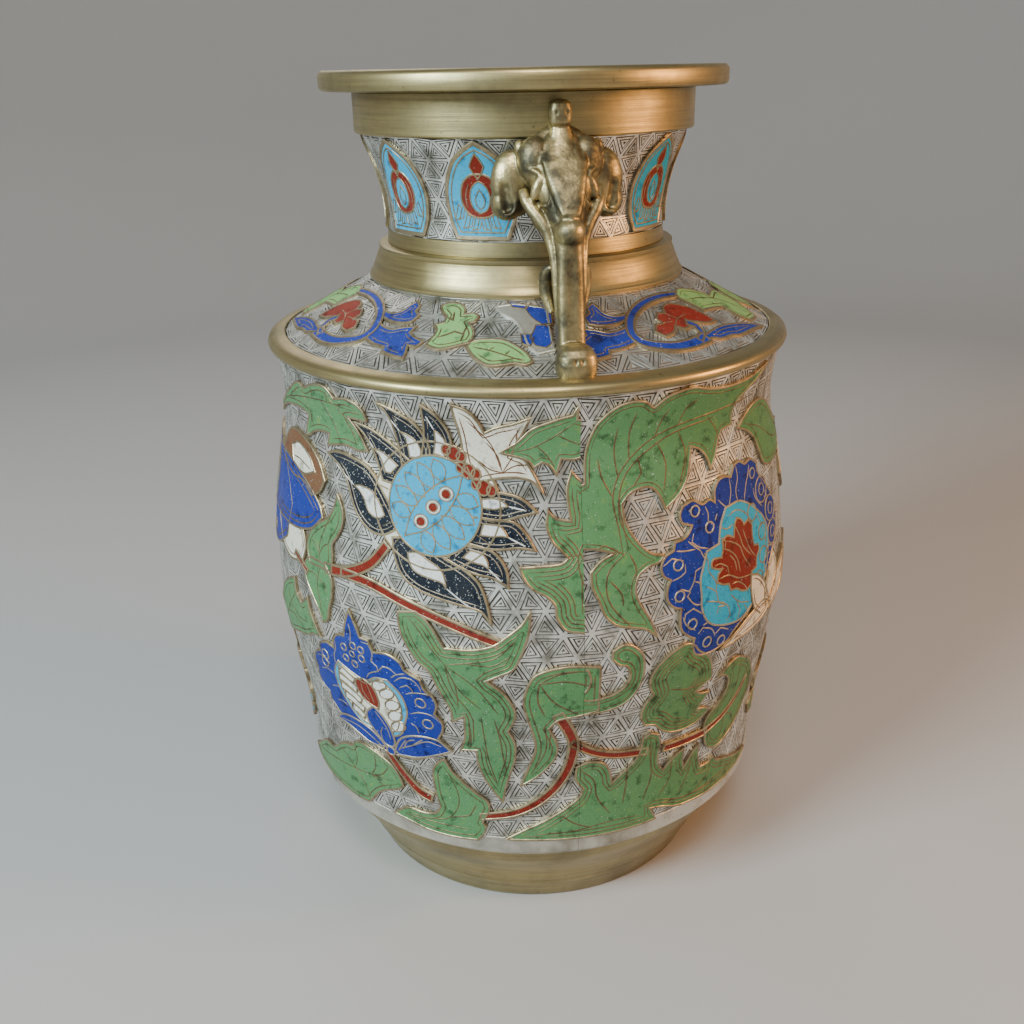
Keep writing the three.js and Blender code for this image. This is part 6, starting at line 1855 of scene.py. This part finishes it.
elephant = {
    # lofted parts: height, middle X, half depth, half width and, for the head, squareness
    "head": [
        (213, 79.4, 4.5, 4.3, 3.4), (222, 77.8, 4.1, 4.4, 3.4), (230, 76.6, 3.9, 4.3, 3.4),
        (240, 75.6, 3.9, 4.2, 3.4), (247.6, 75, 4.0, 4.1, 3), (250, 74.2, 4.9, 4.4, 2.4),
        (254, 72.6, 6.4, 5.0, 2.1), (258, 70.2, 8.0, 6.2, 2), (262, 67.4, 9.2, 7.8, 2),
        (267, 64.6, 9.2, 9.8, 2), (272, 62.4, 7.8, 11.2, 2), (277, 60.8, 5.4, 11.8, 2.2),
        (280, 60.2, 3.7, 10, 2.2), (282.4, 60, 2.6, 6, 2.2), (283.8, 60, 1.8, 3, 2.2),
    ],
    "knob": [
        (266, 70.6, 2.4, 2.6), (270, 69.4, 3.6, 3.8), (274, 66.4, 4.2, 4.6), (277.4, 63.8, 4.2, 4.4),
        (280.2, 62.6, 3.4, 3.5), (283.4, 62, 2.5, 2.9), (284.4, 62.4, 3.1, 3.3), (288, 62.4, 3.3, 3.45),
        (290, 62.4, 2.9, 3), (291, 62.4, 1.6, 1.7),
    ],
    "boss": [
        (207.6, 85.8, 1.6, 1.8), (208.2, 85.8, 3, 3.6), (210, 85.7, 4.5, 5.3), (213.4, 85.7, 5.2, 6.2),
        (216.8, 85.7, 5.4, 6.4), (219.4, 85.5, 5, 6), (221.2, 85.2, 4, 4.8), (222.2, 84.8, 2.6, 3.2),
    ],
    "ledge": [(213.4, 80.6, 4.2, 4.2), (219, 80.6, 4.2, 4.4), (221, 80.4, 3.4, 4)],
    "wedge": [
        (257.6, 75.2, 3, 2.4), (259.4, 75, 4.4, 3.6), (262, 73.6, 4.8, 4.6), (266, 71.2, 5.2, 5.6),
        (270, 68.8, 5, 6.6), (274, 66.2, 4.4, 7.4), (278, 63.6, 3.4, 6.4), (281, 62, 2.4, 4.2),
    ],
    # the trunk's root: middle and radii of round lumps
    "trunkRoot": [((76.4, 0, 254.4), (5.4, 4.7, 4.4)), ((74.6, 0, 258), (4.8, 3.8, 6))],
    # jowl, knob's shoulder, brow and the ear's two halves, with their tilt, on both sides
    "lumps": [
        ((66.6, -7.4, 258.4), (3.8, 2.8, 5), 12), ((60.6, -12, 277), (1.9, 1.8, 2.9), 0),
        ((62.2, -7.4, 273.2), (5.4, 5.8, 7.6), 8), ((57.8, -13.4, 267), (5, 7.4, 10.2), 3),
        ((57.2, -15.6, 261.6), (4.8, 5.4, 5.8), 0),
    ],
    # round rods on both sides: X, Y, height and radius
    "earFold": [
        (61.4, -15.4, 267.6, 1.2), (61.4, -13.9, 265, 1.2), (61.4, -13.6, 261.6, 1.2),
        (61.4, -15, 258.8, 1.2), (61.4, -17.2, 257.8, 1.2),
    ],
    "tusk": [
        (64.4, -12, 265.4, 1.5), (67, -11.2, 262.4, 1.9), (69.4, -9.2, 259.2, 2.1), (71.6, -6.8, 255.8, 2),
        (73.2, -5.2, 251.4, 1.7), (74.8, -4.5, 246, 1.4), (76.2, -4.3, 238, 1.1), (77, -4.2, 229, 0.6),
    ],
    "scroll": [
        (73, -4.6, 243.6, 0.9), (70.8, -5.8, 242, 1.9), (69.4, -6.2, 238, 2.3), (70.2, -5.6, 233.6, 2),
        (72.4, -4.6, 229.4, 1.1),
    ],
    "eye": (-8.2, 266.6),     # place across and height on the face
    "eyeLean": 22,
    "eyeRadii": (1.7, 1.9, 4),
    "lid": (5.3, 2.8, 0.7),   # half height, half width and radius of its rod
    # tooled lines, on both sides: points, width and depth
    "grooves": [
        ([(65, 4.4, 283), (67, 5.4, 277.6), (69.4, 5.2, 273)], 1.3, 0.4),       # beside the knob's root
        ([(7.4, 273), (6.6, 267), (5, 262), (3.6, 259.6)], 1.2, 0.6),           # beside the flat of the face
        ([(62, 11.2, 273.4), (63.4, 11, 269.6), (64, 11.4, 266)], 1.2, 0.5),    # between head and ear
        ([(62, 17.2, 266), (62.2, 16.8, 262), (62, 16.2, 260.2)], 2.4, 1.2),    # hollow of the ear
        ([(73, 5.4, 260), (75.6, 3.6, 259.2), (79, 1.4, 259)], 1, 0.2),         # over the trunk's root
        ([(90.8, 1.1, 218.4), (90.8, 1.1, 217.8)], 0.8, 0.45),                  # in the trunk's end
        ([(65.7, 1.6, 287.6), (65.7, 1.6, 287.2)], 0.8, 0.35),                  # in the knob
    ],
    "trunkGroove": ([(79.8, 0, 226), (79.4, 0, 246)], 1.8, 0.14),
    "voxel": 0.36,
    "smoothing": 3,
}


def loft(slices, around=36, power=2.5, steps=3):
    # level rings through the slices, closed at both ends
    z = [s[0] for s in slices]
    fine = []
    for k in range(len(z) - 1):
        fine.extend(np.linspace(z[k], z[k + 1], steps + 1)[:-1])
    fine.append(z[-1])
    rows = [np.interp(fine, z, [s[i] for s in slices]) for i in (1, 2, 3)]
    squareness = np.interp(fine, z, [s[4] if len(s) > 4 else power for s in slices])
    verts = []
    for level, height in enumerate(fine):
        for i in range(around):
            angle = 2 * math.pi * i / around
            c, s = math.cos(angle), math.sin(angle)
            bend = 2 / squareness[level]
            verts.append((rows[0][level] + rows[1][level] * math.copysign(abs(c) ** bend, c),
                          rows[2][level] * math.copysign(abs(s) ** bend, s), height))
    return verts, bands(len(fine), around) + endCaps(len(fine), around)


def blob(place, radii, tilt=0.0):
    # an oval lump; the tilt turns it about X
    around, down = 24, 14
    verts = []
    turn = Matrix.Rotation(math.radians(tilt), 3, "X")
    for k in range(1, down):
        polar = math.pi * k / down
        for i in range(around):
            angle = 2 * math.pi * i / around
            x = radii[0] * math.sin(polar) * math.cos(angle)
            y = radii[1] * math.sin(polar) * math.sin(angle)
            p = turn @ Vector((x, y, -radii[2] * math.cos(polar)))
            verts.append((place[0] + p.x, place[1] + p.y, place[2] + p.z))
    return verts, bands(down - 1, around) + endCaps(down - 1, around)


def rod(route, around=12, steps=5):
    # a round rod through (x, y, z, radius) points
    pts = [Vector(p) for p in route]
    fine = []
    for k in range(len(pts) - 1):
        p0, p1, p2, p3 = pts[max(0, k - 1)], pts[k], pts[k + 1], pts[min(len(pts) - 1, k + 2)]
        for s in range(steps):
            t = s / steps
            square, cube = 2 * p0 - 5 * p1 + 4 * p2 - p3, 3 * p1 - p0 - 3 * p2 + p3
            fine.append(0.5 * (2 * p1 + (p2 - p0) * t + square * t * t + cube * t ** 3))
    fine.append(pts[-1])
    verts = []
    side = Vector((0.3, 1, 0.2))
    for k, p in enumerate(fine):
        along = (fine[min(k + 1, len(fine) - 1)] - fine[max(k - 1, 0)]).to_3d().normalized()
        side = (side - along * side.dot(along)).normalized()
        up = along.cross(side)
        for i in range(around):
            angle = 2 * math.pi * i / around
            verts.append(tuple(p.to_3d() + (side * math.cos(angle) + up * math.sin(angle)) * p.w))
    return verts, bands(len(fine), around) + endCaps(len(fine), around)


def flipped(part):
    return [(x, -y, z) for x, y, z in part[0]], [f[::-1] for f in part[1]]


class Clay:
    # parts of one sculpted piece, gathered, skinned over and then tooled

    def __init__(self):
        self.verts = []
        self.faces = []

    def add(self, part, both=False):
        for verts, faces in ([part, flipped(part)] if both else [part]):
            start = len(self.verts)
            self.verts.extend(verts)
            self.faces.extend(tuple(start + v for v in f) for f in faces)

    def skin(self, name, voxel, smoothing):
        obj = addObject(name, self.verts, self.faces)
        mesh = obj.data
        remesh = obj.modifiers.new("skin", "REMESH")
        remesh.mode = "VOXEL"
        remesh.voxel_size = voxel
        smooth = obj.modifiers.new("smooth", "SMOOTH")
        smooth.factor = 0.5
        smooth.iterations = smoothing
        depsgraph = bpy.context.evaluated_depsgraph_get()
        result = bpy.data.meshes.new_from_object(obj.evaluated_get(depsgraph))
        obj.modifiers.clear()
        obj.data = result
        bpy.data.meshes.remove(mesh)
        return obj


def tool(obj, strokes):
    # presses grooves (or raises welts, with a negative depth) along lines of points
    mesh = obj.data
    count = len(mesh.vertices)
    at = np.empty(count * 3)
    mesh.vertices.foreach_get("co", at)
    at = at.reshape(-1, 3)
    normals = np.empty(count * 3)
    mesh.vertex_normals.foreach_get("vector", normals)
    normals = normals.reshape(-1, 3)
    press = np.zeros(count)
    for points, width, depth in strokes:
        pts = np.array(points, float)
        nearest = np.full(count, 1e9)
        for a, b in zip(pts[:-1], pts[1:]):
            ab = b - a
            t = np.clip(((at - a) @ ab) / max(1e-9, ab @ ab), 0, 1)
            nearest = np.minimum(nearest, np.linalg.norm(at - a - t[:, None] * ab, axis=1))
        share = np.clip(1 - (nearest / width) ** 2, 0, 1)
        press += depth * share ** 2
    at = at - normals * press[:, None]
    mesh.vertices.foreach_set("co", at.reshape(-1))
    mesh.update()


def elephantHandle(e):
    clay = Clay()
    head = loft(e["head"])
    clay.add(head)
    tree = BVHTree.FromPolygons([Vector(v) for v in head[0]], head[1])

    def skinPoint(y, z, lift=0.0):
        # the head's surface seen from in front
        hit = tree.ray_cast(Vector((110, y, z)), Vector((-1, 0, 0)))
        return ((hit[0].x if hit[0] else 60) + lift, y, z)

    def eyePoint(along, across, lift):
        lean = math.radians(e["eyeLean"])
        y = e["eye"][0] + across * math.cos(lean) - along * math.sin(lean)
        return skinPoint(y, e["eye"][1] + across * math.sin(lean) + along * math.cos(lean), lift)

    for name, power in (("knob", 3), ("boss", 2.6), ("ledge", 4), ("wedge", 3.4)):
        clay.add(loft(e[name], power=power))
    for place, radii in e["trunkRoot"]:
        clay.add(blob(place, radii))
    for place, radii, tilt in e["lumps"]:
        clay.add(blob(place, radii, tilt), both=True)
    for name in ("earFold", "tusk", "scroll"):
        clay.add(rod(e[name]), both=True)
    clay.add(blob(eyePoint(0, 0, -0.4), e["eyeRadii"], -e["eyeLean"]), both=True)
    halfHeight, halfWidth, radius = e["lid"]
    lid = []
    for k in range(17):
        turn = 2 * math.pi * k / 16
        across = halfWidth * math.copysign(abs(math.sin(turn)) ** 1.3, math.sin(turn))
        lid.append((*eyePoint(halfHeight * math.cos(turn), across, 0.3), radius))
    clay.add(rod(lid), both=True)
    obj = clay.skin("elephantRight", e["voxel"], e["smoothing"])
    strokes = []
    for side in (-1, 1):
        for points, width, depth in e["grooves"]:
            # points without an X lie on the face
            if len(points[0]) < 3:
                line = [skinPoint(side * y, z, 1.4) for y, z in points]
            else:
                line = [(x, side * y, z) for x, y, z in points]
            strokes.append((line, width, depth))
    tool(obj, [*strokes, e["trunkGroove"]])
    obj.data.transform(Matrix.Scale(mm, 4))
    obj.data.materials.append(finishes["handleBronze"])
    obj.data.polygons.foreach_set("use_smooth", [True] * len(obj.data.polygons))
    return obj


def buildVase():
    claim(footPiece(turning), "foot_ring")
    claim(basePiece(turning), "base_plate")
    front, back = drumPieces(turning, engraving)
    claim(front, "drum_front")
    claim(back, "drum_back")
    claim(shoulderPiece(turning, engraving), "shoulder_plate")
    claim(neckPiece(turning, engraving), "neck_wall")
    rings = {"ridge": "shoulder_ridge", "collar": "neck_collar", "band": "neck_band", "rim": "mouth_rim"}
    for key, node in rings.items():
        claim(turned(key + "Turned", turning[key], ["bronze"] * len(turning[key])), node)
    print("turned pieces built")
    right = elephantHandle(elephant)
    left = turnedCopy(right, "elephantLeft")
    claim(right, "handle_right")
    claim(left, "handle_left")
    print("handles built", len(right.data.polygons))


buildVase()
